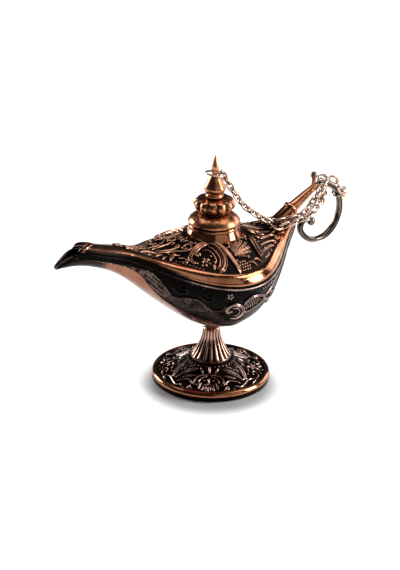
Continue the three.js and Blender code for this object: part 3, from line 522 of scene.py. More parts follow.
def metalFinish(name, look):
    look = {**plainFinish, **look}
    material = bpy.data.materials.new(name)
    material.use_nodes = True
    tree = material.node_tree
    colors = {label: (*look[label.lower()], 1) for label in ("Bright", "Deep", "Patina")}
    amounts = {label: look[label.lower()] for label in ("Rub", "Blotch", "Speckle")}
    rubbed = addNode(tree, "ShaderNodeGroup", {**colors, **amounts}, node_tree=rubbedGroup).outputs
    lost = -look["pitsRubbed"] * look["pitting"]
    pits = mathNode(tree, "MULTIPLY_ADD", rubbed["Rubbed"], lost, look["pitting"])
    marks = {"Grain Size": look["grain"], "Scratches": look["scratches"], "Pitting": pits}
    grain = addNode(tree, "ShaderNodeGroup", marks, node_tree=grainGroup).outputs
    bump = addNode(tree, "ShaderNodeBump", {
        "Height": grain["Height"], "Strength": look["bump"], "Distance": look["bumpDepth"]})
    rough = mathNode(tree, "MULTIPLY_ADD", rubbed["Rubbed"], look["polish"] - look["dull"], look["dull"])
    rough = mathNode(tree, "ADD", rough, grain["Roughness"], clamp=True)
    setInputs(tree, tree.nodes["Principled BSDF"], {
        "Base Color": rubbed["Color"], "Metallic": 1, "Roughness": rough, "Normal": bump.outputs["Normal"]})
    return material


finishes = {
    "copper": {"bright": (0.5, 0.215, 0.11), "deep": (0.27, 0.1, 0.05), "patina": (0.006, 0.004, 0.003),
               "polish": 0.11, "dull": 0.4, "blotch": 0.3, "bump": 0.14},
    "satin": {"bright": (0.56, 0.25, 0.125), "deep": (0.34, 0.13, 0.06), "patina": (0.008, 0.005, 0.004),
              "polish": 0.23, "dull": 0.4, "blotch": 0.3, "bump": 0.18},
    "reeded": {"bright": (0.66, 0.4, 0.31), "deep": (0.37, 0.19, 0.135), "patina": (0.006, 0.004, 0.003),
               "polish": 0.15, "dull": 0.4, "blotch": 0.3, "bump": 0.14},
    "carving": {"bright": (0.52, 0.27, 0.175), "deep": (0.24, 0.1, 0.06), "patina": (0.005, 0.0035, 0.003),
                "polish": 0.19, "dull": 0.42, "blotch": 0.45, "rub": -0.12},
    "rose": {"bright": (0.48, 0.325, 0.28), "deep": (0.22, 0.122, 0.1), "patina": (0.005, 0.0038, 0.0034),
             "polish": 0.19, "dull": 0.42, "blotch": 0.45, "rub": -0.12},
    "darkHull": {"bright": (0.22, 0.15, 0.127), "deep": (0.09, 0.056, 0.045),
                 "patina": (0.0022, 0.0018, 0.0016),
                 "polish": 0.3, "dull": 0.44, "blotch": 0.6, "speckle": 1.5, "pitting": 1.2, "bump": 0.7},
    "keel": {"bright": (0.345, 0.157, 0.09), "deep": (0.255, 0.105, 0.058), "patina": (0.02, 0.01, 0.007),
             "polish": 0.26, "dull": 0.36},
    "scroll": {"bright": (0.2, 0.155, 0.133), "deep": (0.085, 0.067, 0.058), "patina": (0.006, 0.005, 0.0045),
               "polish": 0.15, "dull": 0.32},
    "chain": {"bright": (0.78, 0.55, 0.43), "deep": (0.5, 0.32, 0.24), "patina": (0.05, 0.03, 0.022),
              "polish": 0.22, "dull": 0.34, "rub": 0.1},
    "brass": {"bright": (0.62, 0.46, 0.24), "deep": (0.38, 0.26, 0.11), "patina": (0.05, 0.035, 0.015),
              "polish": 0.28, "dull": 0.42, "rub": 0.8},
    "steel": {"bright": (0.55, 0.55, 0.55), "deep": (0.36, 0.36, 0.36), "patina": (0.06, 0.06, 0.06),
              "polish": 0.28, "dull": 0.42, "rub": 0.8},
}
finish = {name: metalFinish(name, look) for name, look in finishes.items()}
print("finishes made:", ", ".join(finish))

# hull: open shell and its keel band
hullGround = {  # black above the wave line, rubbed brown below it
    "rows": 150, "sides": 73, "inRows": 100, "inSides": 49, "tailRows": 12,
    "dark": 0.06, "rubbed": 0.42, "soft": 0.04, "rimTone": 0.3, "noseTone": 0.7, "sternTone": 0.5,
    "lipTone": 0.55, "lipStart": -55, "lipRun": 4,  # the lip's hollow is worn brown
    "wave": [(-62.8, 0.3), (-48, 0.3), (-36, 0.17), (-30.9, 0.15), (-27.5, 0.3), (-23.8, 0.45), (-22, 0.36),
             (-18.2, 0.29), (-14.4, 0.37), (-11, 0.37), (-8, 0.46), (0, 0.48), (8, 0.45), (16, 0.4),
             (24, 0.32), (34, 0.3)],
}
keelBand = {
    "lift": 0.16, "sunk": 0.1, "from": -62.6, "to": 33.6, "rows": 150, "sides": 33, "edgeTone": 0.1,
    "lipTone": 0.12, "start": -50, "fade": 10,  # dark under the lip
    "edge": [(-62.8, 0.3), (-52, 0.3), (-45, 0.29), (-39, 0.28), (-36.8, 0.29), (-34.3, 0.33), (-32.5, 0.41),
             (-30.4, 0.531), (-26.9, 0.648), (-23.3, 0.685), (-20, 0.693), (-17.3, 0.675), (-14.8, 0.64),
             (-12.7, 0.61), (-10.5, 0.6), (-6, 0.63), (0, 0.68), (8, 0.68), (16, 0.64), (24, 0.56),
             (34, 0.42)],
}
keelEdge = smoothLine(keelBand["edge"])


def makeHull():
    skin = newSkin()
    x, turn = alongBody(tipX, sternX, hullGround["rows"]), np.linspace(0, math.pi, hullGround["sides"])
    outer = hullPoint(*np.meshgrid(x, turn, indexing="ij"))
    share = np.minimum(turn, math.pi - turn) / (math.pi / 2)
    wave = smoothLine(hullGround["wave"])(x)
    below = ease((share[None, :] - wave[:, None]) / hullGround["soft"] + 0.5)
    addGrid(skin, outer, hullGround["dark"] + (hullGround["rubbed"] - hullGround["dark"]) * below)
    inX = alongBody(tipX, bowl["cavityEnd"], hullGround["inRows"])
    inTurn = np.linspace(0, math.pi, hullGround["inSides"])
    gridX, gridTurn = np.meshgrid(inX, inTurn, indexing="ij")
    inner = hullPoint(gridX, gridTurn, wallAt(gridX))
    lip = ease((hullGround["lipStart"] - gridX) / hullGround["lipRun"])
    addGrid(skin, inner, hullGround["lipTone"] * lip)
    for side in (0, -1):  # rim faces
        outRim = hullPoint(inX, np.full_like(inX, math.pi * (side != 0)))
        addGrid(skin, np.stack([outRim, inner[:, side]], 1), hullGround["rimTone"])
    nose = hullPoint(np.full_like(inTurn, tipX), inTurn)
    addGrid(skin, np.stack([nose, inner[0]], 0), hullGround["noseTone"])
    addCap(skin, inner[-1], 0)
    tailX = np.linspace(bowl["cavityEnd"], sternX, hullGround["tailRows"])
    ends = np.stack([hullPoint(tailX, 0 * tailX), hullPoint(tailX, 0 * tailX + math.pi)], 1)
    addGrid(skin, ends, hullGround["sternTone"])
    addCap(skin, outer[-1], hullGround["sternTone"])
    return makePiece("hullShell", skin, finish["darkHull"], "base", ["hull"])


def makeKeelBand():
    skin = newSkin()
    shape = keelBand["rows"], keelBand["sides"]
    x, t = alongBody(keelBand["from"], keelBand["to"], shape[0]), np.linspace(0, 1, shape[1])
    edge = keelEdge(x)[:, None]
    share = edge * (1 - t) + (2 - edge) * t
    point, out = hullSpots(np.stack([np.repeat(x, shape[1]), share.ravel()], 1))
    point, out = point.reshape(*shape, 3), out.reshape(*shape, 3)
    lift, tone = np.full(shape[1], keelBand["lift"]), np.ones(shape[1])
    lift[[0, -1]], tone[[0, -1]] = -keelBand["sunk"], keelBand["edgeTone"]
    worn = keelBand["lipTone"] + (1 - keelBand["lipTone"]) * ease((x - keelBand["start"]) / keelBand["fade"])
    addGrid(skin, point + out * lift[None, :, None], worn[:, None] * tone[None, :], facing=out)
    return makePiece("keelBand", skin, finish["keel"], "base", outward=False)


makeHull()
makeKeelBand()
print("hull made")

# deck: rim band, field and spout mouth
deck = {
    "end": 33.4, "holeRadius": 8.2, "rows": 190, "inRows": 110, "seatTone": 0.2,
    # lines along the deck: shares of the rim band from its edge, of the field from the crown, and their rise
    "bandLines": [0, 0.01, 0.04, 0.09, 0.16, 0.25, 0.35, 0.46, 0.58, 0.7, 0.82, 0.92, 0.985, 1.0],
    "fieldLines": [0.992, 0.96, 0.9, 0.82, 0.73, 0.63, 0.53, 0.43, 0.33, 0.23, 0.13, 0.05],
    "bandTones": [0.5, 0.8] + [1] * 10 + [0.8, 0.55], "fieldTones": [0.15] + [0.04] * 11, "crownTone": 0.04,
    # the mouth's edge on the crown, how far it runs forward at the rim and in what curve, outside and inside
    "mouthStart": -40, "mouthOutside": (-48.4, 5.5, 1.2), "mouthInside": (-51.2, 4.2, 1.1),
    "mouthEdges": [("mouthOutside", "deck", 0.34), ("mouthInside", "mouth", 0.2)],
    "mouthLean": (-0.35, 0, 0.94), "mouthSteps": 31, "mouthReach": 0.98, "mouthRelief": 0.6,
    # the spout is plain and darker, with painted shade along the lowest part of its band
    "spoutTone": 0.43, "toneStart": -38, "toneRun": 24, "plainStart": -36, "plainRun": 6,
    "paintedShade": 0.75, "shadeStart": -16, "shadeRun": 14, "shadeLine": 0.02, "shadeFade": 0.15,
}


# points of the deck's outside, or of its hollow, drawn back from the mouth most on the crown
def deckGrid(end, count, mouth, hollow):
    x = alongBody(mouthX, end, count)[:, None]
    wall = hollow * wallAt(x)
    half = halfInside(x, wall)
    band = np.minimum(bandWidthAt(x), half)
    side = np.concatenate([half - band * deck["bandLines"], (half - band) * deck["fieldLines"]], 1)
    y = np.concatenate([-side, 0 * half, side[:, ::-1]], 1)
    (crown, run, curve), start = mouth, deck["mouthStart"]
    share = y / half
    edge = crown - run * np.abs(share) ** curve
    t = np.clip((start - x) / (start - mouthX), 0, 1)
    moved = np.where(t > 0, start + (edge - start) * t, x)
    y = np.where(t > 0, share * halfInside(moved, wall), y)
    return np.stack([moved, y, deckHeight(moved, y, hollow * wallAt(moved))], -1)


def bothSides(half, middle):
    return np.concatenate([half, [middle], half[::-1]])


def deckTones(x):
    tone = bothSides(np.array(deck["bandTones"] + deck["fieldTones"]), deck["crownTone"])
    # painted shade mask: full on the band's lowest lines, none higher up
    low = 1 - ease((np.array(deck["bandLines"]) - deck["shadeLine"]) / deck["shadeFade"])
    low = bothSides(np.concatenate([low, np.zeros(len(deck["fieldLines"]))]), 0)
    worn = deck["spoutTone"] + (1 - deck["spoutTone"]) * ease((x - deck["toneStart"]) / deck["toneRun"])
    plain = ease((deck["plainStart"] - x) / deck["plainRun"])
    # painted shade darkens that lower part of the band along the spout, more towards the mouth
    paintedShade = deck["paintedShade"] * ease((deck["shadeStart"] - x) / deck["shadeRun"])
    tones = np.maximum(tone, plain[:, None]) * worn[:, None] * (1 - paintedShade[:, None] * low)
    tones[0] = 1  # bevel at the mouth
    return tones


def makeDeck():
    skin = newSkin()
    hole = lambda middle: np.hypot(middle[:, 0], middle[:, 1]) < deck["holeRadius"]
    outer = deckGrid(deck["end"], deck["rows"], deck["mouthOutside"], 0)
    inner = deckGrid(bowl["cavityEnd"], deck["inRows"], deck["mouthInside"], 1)
    addGrid(skin, outer, deckTones(alongBody(mouthX, deck["end"], deck["rows"])), skip=hole)
    addGrid(skin, inner, 0.0, skip=hole)
    addGrid(skin, np.stack([outer[0], inner[0]]), 1.0)
    for side in (0, -1):  # seat on the hull's rim
        reach = np.maximum(inner[:, side, 0], outer[0, side, 0])
        outEdge = np.stack([np.interp(reach, outer[:, side, 0], outer[:, side, k]) for k in range(3)], 1)
        addGrid(skin, np.stack([outEdge, inner[:, side]], 1), deck["seatTone"])
    addCap(skin, inner[-1], 0)
    return makePiece("deckShell", skin, finish["copper"], "base", ["deck"])


# worn bright edges round the mouth's bevel
def makeMouthEdge():
    skin = newSkin()
    share = np.linspace(-deck["mouthReach"], deck["mouthReach"], deck["mouthSteps"])
    for name, where, width in deck["mouthEdges"]:
        crown, run, curve = deck[name]
        x = crown - run * np.abs(share) ** curve
        y = share * halfInside(x, wallAt(x) if where == "mouth" else 0)
        addRidge(skin, where, list(zip(x, y)), width, deck["mouthRelief"] * width)
    return makePiece("mouthEdge", skin, finish["reeded"], "base", outward=False, sharp=70)


# collar for the lid with petals round its foot, and the tail socket: radius, height or distance along, rise
collar = {
    "sides": 120,
    "levels": [(7, 29, 0), (9.4, 29, 0.2), (9.4, 30.8, 0.4), (9.3, 31, 0.8), (9.02, 31.5, 1), (8.72, 32.1, 1),
               (8.42, 32.7, 1), (8.18, 33.2, 1), (8.0, 33.58, 0.9), (7.98, 33.7, 0.5), (8.2, 33.82, 0.8),
               (8.3, 34.1, 1), (8.28, 34.45, 1), (8.1, 34.68, 1), (7.6, 34.7, 0.9), (7.05, 34.6, 0.5),
               (7, 34.2, 0.1), (7, 29, 0)],
    "petals": 8, "petalTurn": -140, "petalSteps": 256, "petalRoot": 8.3, "petalRim": 9.5, "petalReach": 1.3,
    "petalCurve": 1.6,
    "petalRows": [(0, 0.28, 0.15), (0.45, 0.3, 0.5), (0.7, 0.36, 1), (0.88, 0.3, 1), (1.0, -0.08, 0.2)],
}
neck = {
    "root": (27, 28), "slope": 28.5, "sides": 64,
    "socket": [(0.1, -1.5, 1), (2.0, -1.4, 1), (2.4, -0.6, 1), (2.4, 5.9, 1), (2.46, 6.05, 0.5),
               (2.72, 6.2, 0.8), (2.8, 6.5, 1), (2.8, 7.0, 1), (2.7, 7.28, 1), (2.4, 7.4, 0.8),
               (1.5, 7.4, 0.2), (1.5, 5, 0)],
}
neckWay = np.array([math.cos(math.radians(neck["slope"])), math.sin(math.radians(neck["slope"]))])
neckRoot = np.array(neck["root"]) + (0, deckBase)


def makeCollar():
    skin = newSkin()
    addLathe(skin, collar["levels"], deckBase, collar["sides"])
    addTurned(skin, neck["socket"], neckRoot, neckWay, neck["sides"])
    turn = np.linspace(0, 2 * math.pi, collar["petalSteps"], endpoint=False)
    wave = np.abs(np.sin(collar["petals"] / 2 * (turn - math.radians(collar["petalTurn"]))))
    reach = collar["petalRim"] + collar["petalReach"] * (1 - wave) ** collar["petalCurve"]
    share, lift, tone = np.array(collar["petalRows"]).T[..., None]
    radius = collar["petalRoot"] + (reach - collar["petalRoot"]) * share
    x, y = radius * np.cos(turn), radius * np.sin(turn)
    grid = np.stack([x, y, deckHeight(x, y) + lift], -1)
    addGrid(skin, grid, tone, across=True, facing=np.array([0, 0, 1.0]))
    return makePiece("collarAndSocket", skin, finish["copper"], "base", outward=False)


makeDeck()
makeCollar()
makeMouthEdge()
print("deck made")

# carving on the deck, drawn on its plan for the -Y side and mirrored: kind, width, height, path, end bead
deckCarving = [
    ("double", 0.85, 0.85, [(-7.6, -6.2), (-9.3, -5.4), (-11.7, -5.5), (-14.4, -6.7), (-16.7, -8.5),
     (-17.5, -10.4), (-16.2, -11.4)], 0.6),
    ("round", 0.6, 0.7, [(-7.6, -6.2), (-9.7, -6.4), (-12, -6.7), (-14, -7.7), (-14.3, -8.8),
     (-13.2, -8.7)], 0.75),
    ("triple", 1.15, 0.95, [(-7.6, -6.2), (-6.5, -7.9), (-6.3, -10.3), (-6.7, -13), (-7.9, -15),
     (-9.6, -16.2), (-11.6, -16.8)], 0),
    ("round", 0.45, 0.7, [(-8.7, -7.2), (-8, -9), (-7.9, -11.3), (-8.5, -13.5), (-9.7, -14.8),
     (-11, -15.4)], 0.5),
    ("round", 0.42, 0.6, [(-11, -8.1), (-9.6, -8.7), (-9.2, -10.5), (-9.5, -12.5), (-10.2, -13.6)], 0),
    ("ribbon", 0.95, 0.7, [(-6.5, -6.7), (-5, -9.5), (-4.6, -12.3), (-4.5, -14.6), (-4.3, -16.8),
     (-4.4, -19.4)], 0),
    ("leaf", 0.8, 0.9, [(-12.6, -15.6), (-11.8, -14.6), (-10.8, -13.5)], 0.85),
    ("double", 0.5, 0.7, [(8.3, -7.2), (7.1, -10.3), (6.6, -12.7), (6.4, -14.7), (6.2, -16.6)], 0),
    ("round", 0.4, 0.65, [(9.7, -6.8), (8.5, -9.9), (8, -12.2), (7.5, -14.4)], 0),
    ("double", 0.5, 0.7, [(6.4, -15.9), (8.8, -13.9), (11.5, -12.6), (14.3, -11.2), (16.2, -10.6)], 0.5),
    ("round", 0.5, 0.75, [(10.3, -11.4), (14, -9.7), (17.3, -8.7), (18.4, -9.2), (17.6, -9.7)], 0.5),
    ("double", 0.6, 0.8, [(12.8, -8.3), (14.8, -7.4), (18.8, -6), (20.6, -6.6), (19.8, -7.7)], 0.55),
    ("round", 0.5, 0.7, [(10.4, -7.6), (11.8, -8.2), (13.2, -6.6), (15.2, -5.8), (16.4, -6.2)], 0.5),
    ("leaf", 0.8, 0.7, [(12.2, -2.2), (14.4, -4.3), (18.1, -3.8), (21.1, -3.3)], 0),
    ("round", 0.45, 0.6, [(20.4, -4.7), (22.6, -4.3), (24.4, -3.2), (24, -1.9), (22.8, -2.3)], 0.5),
    ("leaf", 0.7, 0.6, [(10, -1.4), (13, -0.9), (17, -1.3), (20.4, -0.9)], 0),
    ("round", 0.52, 0.75, [(-25.4, -2.2), (-22.6, -2.9), (-19.7, -3.3), (-17.3, -4.6), (-15.4, -5.3),
     (-13.4, -5), (-12.4, -3.8), (-13.2, -2.8), (-14.6, -2.7), (-15.6, -3.3), (-15.5, -4.2),
     (-14.7, -4.1)], 0.55),
    ("round", 0.42, 0.65, [(-24.9, -0.8), (-22.6, -1.5), (-19.9, -1.9), (-17.7, -2), (-16.2, -2),
     (-15.3, -1.5), (-15.5, -0.8), (-16.2, -1)], 0.4),
    ("leaf", 0.95, 1.0, [(-23.9, -7.4), (-22.3, -6), (-20.6, -5.2), (-19.3, -5.9)], 0.5),
    ("leaf", 0.85, 0.9, [(-27.4, -4.6), (-25.8, -3.9), (-23.8, -3.9)], 0),
    ("leaf", 0.8, 0.9, [(-26.4, -6.6), (-25, -5.7), (-23.1, -5)], 0),
    ("leaf", 0.95, 0.9, [(-31.8, -2.2), (-29.6, -1.6), (-27.2, -1.5), (-25.4, -2.4)], 0),
    ("leaf", 0.8, 0.9, [(-40.4, -0.35), (-38.2, -0.8), (-35.4, -0.95), (-32.2, -0.6)], 0),
    ("leaf", 0.6, 0.8, [(-10.6, -0.55), (-12, -0.75), (-13.7, -0.4)], 0),
    ("leaf", 0.6, 0.75, [(-10.4, -1.9), (-11.5, -2.4), (-12.7, -1.9)], 0),
    ("round", 0.4, 0.65, [(-9.9, -3.3), (-10.8, -3.9), (-11.5, -3.5), (-11.2, -2.9)], 0.4),
    ("leaf", 0.65, 0.7, [(10.1, -3), (11.6, -4.3), (13.4, -5)], 0),
    ("leaf", 0.7, 0.75, [(8.4, -15.9), (10.5, -14.7), (12.5, -13.4)], 0),
    ("round", 0.42, 0.6, [(9.9, -4.6), (10.9, -5.6), (12.2, -5.9)], 0.45),
    ("leaf", 0.7, 0.8, [(-30.6, -4.1), (-28.8, -3.5), (-27, -2.7)], 0),
    ("round", 0.45, 0.6, [(-30.6, -0.7), (-33, -1.3), (-35.4, -0.9), (-36.6, -0.3)], 0.5),
    ("round", 0.42, 0.65, [(-20.7, -7.2), (-19, -8), (-18.6, -9.3), (-19.4, -10), (-20.2, -9.2)], 0.4),
    ("leaf", 0.6, 0.7, [(0.4, -16.8), (2, -17), (3.3, -18.3)], 0),
    ("leaf", 0.55, 0.7, [(2.9, -16.6), (4.3, -16.2), (5.6, -17)], 0.45),
    ("round", 0.4, 0.6, [(-3.4, -8.6), (-2.2, -9.5), (-2.4, -10.6), (-3.4, -10.6)], 0.4),
]
fanRibs = {
    "root": (-2.6, -13.9), "width": 1.05, "height": 0.75, "tone": 0.72,
    "tips": [(-2.3, -10.5), (-0.6, -9.6), (1.4, -9.2), (3.3, -9.4), (4.6, -10.6), (4.7, -12.2),
             (3.9, -13.9), (2.2, -15.4)],
}
beadNet = {
    "corners": [(-3.7, -15.3), (-1, -15.7), (0.6, -17.4), (-0.4, -19.2), (-3.4, -19.3)], "bead": 0.4,
    "start": (-4, -15.4), "pitch": (0.95, -0.779), "rows": 6, "cols": 7,
}
looseBeads = [
    (11.1, -12.2, 0.5), (12.4, -12.3, 0.45), (8.4, -13.6, 0.45), (-15.1, -12.7, 0.5), (4.6, -8.3, 0.4),
    (5.7, -9.1, 0.4), (-10.2, -10.9, 0.5), (-21.7, -3.9, 0.45), (-20.9, -4.7, 0.4), (9.4, -9.2, 0.4),
    (10.1, -10, 0.4), (-40, -0.4, 0.75), (-33.4, -1.9, 0.5), (13.6, -12.7, 0.45)]
deckFlower = {"middle": (-13.1, -12.1), "petals": 5, "turn": 0.3, "reach": [(0.5, 0.5), (1.9, 1.9)],
              "width": 0.72, "height": 0.75, "tone": 1, "bead": 0.55}
rimHatch = {"start": (-22.6, -8.4), "end": (-16.6, -14.2), "count": 9, "stroke": (1.5, 0.3),
            "width": 0.26, "height": 0.3, "tone": 0.6}


def makeDeckCarving():
    skin = newSkin()
    for side in (1, -1):
        mirror = lambda points: [(x, side * y) for x, y in points]
        addStrokes(skin, "deck", deckCarving, mirror, tall=1.1)
        for tip in fanRibs["tips"]:
            rib = mirror([fanRibs["root"], tip])
            addRidge(skin, "deck", rib, fanRibs["width"], fanRibs["height"], "fan", fanRibs["tone"])
        addNet(skin, "deck", beadNet, mirror)
        for x, y, radius in looseBeads:
            addBead(skin, "deck", (x, side * y), radius, tall=1)
        addFlower(skin, "deck", deckFlower, mirror)
        addBead(skin, "deck", mirror([deckFlower["middle"]])[0], deckFlower["bead"], tall=1.4)
        for start in np.linspace(rimHatch["start"], rimHatch["end"], rimHatch["count"]):
            stroke = mirror([start, start + rimHatch["stroke"]])
            addRidge(skin, "deck", stroke, rimHatch["width"], rimHatch["height"], tone=rimHatch["tone"])
    return makePiece("deckCarving", skin, finish["carving"], "base", outward=False, sharp=70)


makeDeckCarving()
print("deck carving made")

# carving on the hull: x and the way round from the rim (0) to the keel (1), with each stroke's tone
hullCarving = [
    ("round", 0.42, 0.4, [(-30.9, 0.146), (-29.3, 0.206), (-27.5, 0.3), (-25.4, 0.405), (-23.8, 0.451),
     (-22, 0.363), (-19.9, 0.303), (-18.2, 0.289), (-16.5, 0.317), (-14.4, 0.366), (-12.2, 0.356),
     (-10.6, 0.314), (-10.4, 0.26)], 0.4, 0.54),
    ("round", 0.34, 0.35, [(-24.4, 0.546), (-24.3, 0.46), (-23.3, 0.41), (-22.6, 0.44),
     (-22.9, 0.475)], 0.35, 0.54),
    ("round", 0.34, 0.35, [(-18.6, 0.21), (-16.8, 0.25), (-15.2, 0.24), (-14.4, 0.19), (-15.2, 0.155),
     (-16, 0.18)], 0.35, 0.46),
    ("round", 0.34, 0.35, [(-26.2, 0.2), (-24.4, 0.28), (-22.4, 0.27), (-21.4, 0.21), (-22.2, 0.17),
     (-23, 0.2)], 0.35, 0.46),
    ("leaf", 0.8, 0.4, [(-33.2, 0.33), (-31, 0.33), (-28.4, 0.42), (-26.6, 0.5)], 0, 0.6),
    ("leaf", 0.7, 0.4, [(-31.2, 0.45), (-28.8, 0.52), (-26, 0.56)], 0, 0.6),
    ("leaf", 0.6, 0.4, [(-32, 0.24), (-30.2, 0.27), (-28.3, 0.34)], 0, 0.6),
    ("double", 0.62, 0.7, [(-6.6, 0.425), (-4.6, 0.405), (-3.6, 0.34), (-4.1, 0.262), (-5.8, 0.215),
     (-7.7, 0.21), (-9.1, 0.245), (-9.4, 0.3), (-8.6, 0.335), (-7.8, 0.315)], 0.6, 1),
    ("round", 0.34, 0.5, [(-6.2, 0.375), (-5, 0.345), (-5.2, 0.28), (-6.6, 0.25), (-7.8, 0.265)], 0, 0.9),
    ("double", 0.45, 0.6, [(-4.2, 0.24), (-3.6, 0.16), (-1.2, 0.12), (2.3, 0.141), (4.2, 0.19), (2.4, 0.24),
     (-0.5, 0.285), (-2.9, 0.31), (-4.2, 0.28)], 0, 1),
    ("round", 0.4, 0.5, [(4.4, 0.2), (6, 0.25), (8, 0.27), (9.4, 0.24), (9, 0.2), (8, 0.21)], 0.45, 1),
    ("leaf", 0.6, 0.5, [(4.6, 0.18), (7, 0.16), (9.6, 0.12)], 0, 1),
    ("double", 0.5, 0.6, [(8, 0.36), (10.5, 0.4), (12.6, 0.36), (12.8, 0.29), (11.4, 0.26),
     (10.4, 0.3)], 0.5, 0.9),
    ("round", 0.42, 0.45, [(12.6, 0.34), (15, 0.4), (18, 0.38), (21, 0.3), (24, 0.28), (26, 0.34),
     (25.2, 0.4)], 0.4, 0.8),
    ("leaf", 0.8, 0.5, [(13.5, 0.24), (16.5, 0.26), (19.5, 0.2), (22, 0.18)], 0, 0.8),
    ("leaf", 0.7, 0.45, [(20, 0.44), (23, 0.42), (26.5, 0.3), (29, 0.26)], 0, 0.8),
]
leafNet = {
    "corners": [(-3.2, 0.18), (-1, 0.145), (2.2, 0.16), (3.4, 0.19), (1.6, 0.225), (-1, 0.262), (-3.2, 0.28)],
    "bead": 0.36, "start": (-3.6, 0.13), "pitch": (0.95, 0.024), "rows": 9, "cols": 10,
}
tailBeads = {"start": (3, 0.075), "end": (32, 0.105), "count": 26, "bead": 0.42, "tone": 0.9}
rosette = {"middle": (-9.6, 0.115), "petals": 5, "turn": 0, "reach": [(0.3, 0.01), (1.2, 0.04)],
           "width": 0.5, "height": 0.4, "tone": 0.7}
rails = {
    "from": -54, "to": 32, "rimLevel": 0.026, "rimSteps": 60, "rimWidth": 0.38, "rimRelief": 0.42,
    "rimTones": (0.36, 0.86), "toneStart": -34, "toneRun": 30,
    "keelGap": 0.006, "keelSteps": 80, "keelWidth": 0.22, "keelRelief": 0.3, "keelTone": 0.6,
}


def makeHullCarving():
    skin = newSkin()
    for side in (1, -1):
        flip = lambda points: [(x, v if side == 1 else 2 - v) for x, v in points]
        addStrokes(skin, "hull", hullCarving, flip)
        addNet(skin, "hull", leafNet, flip)
        for place in flip(np.linspace(tailBeads["start"], tailBeads["end"], tailBeads["count"])):
            addBead(skin, "hull", place, tailBeads["bead"], tailBeads["tone"])
        addFlower(skin, "hull", rosette, flip)
        x = np.linspace(rails["from"], rails["to"], rails["rimSteps"])
        rail = flip([(place, rails["rimLevel"]) for place in x])
        bright = ease((carvedPath("hull", rail)[:, 0] - rails["toneStart"]) / rails["toneRun"])
        tone = rails["rimTones"][0] + (rails["rimTones"][1] - rails["rimTones"][0]) * bright
        addRidge(skin, "hull", rail, rails["rimWidth"], rails["rimRelief"], tone=tone)
        x = np.linspace(rails["from"], rails["to"], rails["keelSteps"])
        rail = flip(zip(x, keelEdge(x) - rails["keelGap"]))
        addRidge(skin, "hull", rail, rails["keelWidth"], rails["keelRelief"], tone=rails["keelTone"])
    return makePiece("hullCarving", skin, finish["rose"], "base", outward=False, sharp=70)


makeHullCarving()
print("hull carving made")


# foot: turned dish with its carving
def makeFoot():
    skin = newSkin()
    outer, rim, seat, top = foot["radius"], foot["rimHeight"], foot["seatRadius"], foot["seatHeight"]
    inner = outer - foot["rimWidth"]
    fields = seat + (inner - seat) * np.linspace(0.03, 1, foot["fieldSteps"])
    levels = [(radius, top, tone) for radius, tone in zip((foot["bore"], seat), foot["seatTones"])]
    levels += [(radius, footHeight(radius), foot["fieldTone"]) for radius in fields]
    levels += [(inner + out, rim + up, tone) for out, up, tone in foot["rimIn"]]
    levels += [(outer + out, rim + up, tone) for out, up, tone in foot["rimOut"]]
    levels += [(outer + out, z, tone) for out, z, tone in foot["side"]]
    levels += foot["under"] + [(foot["bore"], top, 0)]
    addLathe(skin, levels, 0, foot["sides"])
    return makePiece("footDish", skin, finish["copper"], "base", ["foot"])


# radius and degrees from the palmette's axis, mirrored about it and repeated behind
footCarving = [
    ("round", 0.4, 0.55, [(10.2, -2), (10.5, -12.6), (11.5, -19.7), (13.1, -21.7), (14.4, -19.9),
     (14.2, -16.5)], 0.4),
    ("round", 0.34, 0.5, [(10.9, -3.5), (11.3, -10), (12.4, -14.2), (13.4, -14)], 0.35),
    ("leaf", 0.5, 0.6, [(8.1, -22), (9, -16), (9.9, -11)], 0),
    ("round", 0.34, 0.5, [(14.6, -7.6), (13.9, -3), (13.8, 0)], 0),
    ("round", 0.34, 0.5, [(16.4, -8), (17, -4), (17.2, 0)], 0),
    ("leaf", 0.5, 0.6, [(13.2, -9.6), (14.6, -11.4), (16.2, -11)], 0),
    ("leaf", 0.45, 0.6, [(14.4, -6.4), (15.6, -6.2), (16.7, -5.2)], 0),
    ("leaf", 0.42, 0.6, [(14.2, -3), (15.4, -2.8), (16.6, -2.4)], 0),
    ("leaf", 0.55, 0.6, [(14.2, -24), (15.4, -23), (16.8, -18.6)], 0),
    ("leaf", 0.5, 0.6, [(15.2, -25.6), (16.4, -24), (17.2, -20.5)], 0),
    ("leaf", 1.5, 0.8, [(14.6, -54.2), (12.4, -61), (10.4, -67), (9, -70), (7.9, -73)], 0),
    ("leaf", 1.35, 0.8, [(13.9, -50.4), (11.6, -47), (9.9, -39), (8.5, -27)], 0),
    ("leaf", 0.7, 0.6, [(12.8, -43), (11.6, -33), (10.8, -24)], 0),
    ("leaf", 0.6, 0.55, [(11.6, -57), (9.8, -56), (8.3, -55)], 0),
    ("round", 0.3, 0.5, [(10.4, -52), (9, -47), (8.3, -41)], 0.3),
    ("round", 0.3, 0.5, [(10.2, -62), (8.9, -63), (8.2, -66)], 0.3),
    ("round", 0.3, 0.4, [(14.9, -57.5), (14.2, -53), (14.3, -48)], 0),
    ("round", 0.45, 0.65, [(17.4, -55), (17, -62), (15.7, -61), (15.4, -54.1), (16.3, -45.4), (17, -38.5),
     (16.6, -34.3), (15.9, -35.4)], 0.55),
    ("round", 0.4, 0.6, [(15.4, -42.5), (14.2, -39.6), (13.2, -32.6), (13.4, -25.9), (14.6, -21.6)], 0),
    ("round", 0.42, 0.6, [(16.9, -70), (16, -77), (15.1, -79), (14.2, -76), (14.8, -73)], 0.45),
    ("round", 0.4, 0.6, [(13.2, -73), (12, -80), (12.6, -86), (14, -86)], 0.45),
    ("leaf", 0.55, 0.6, [(17.2, -79), (16.2, -84), (15, -86)], 0),
    ("leaf", 0.5, 0.6, [(11, -82), (9.6, -85), (8.2, -86)], 0),
]
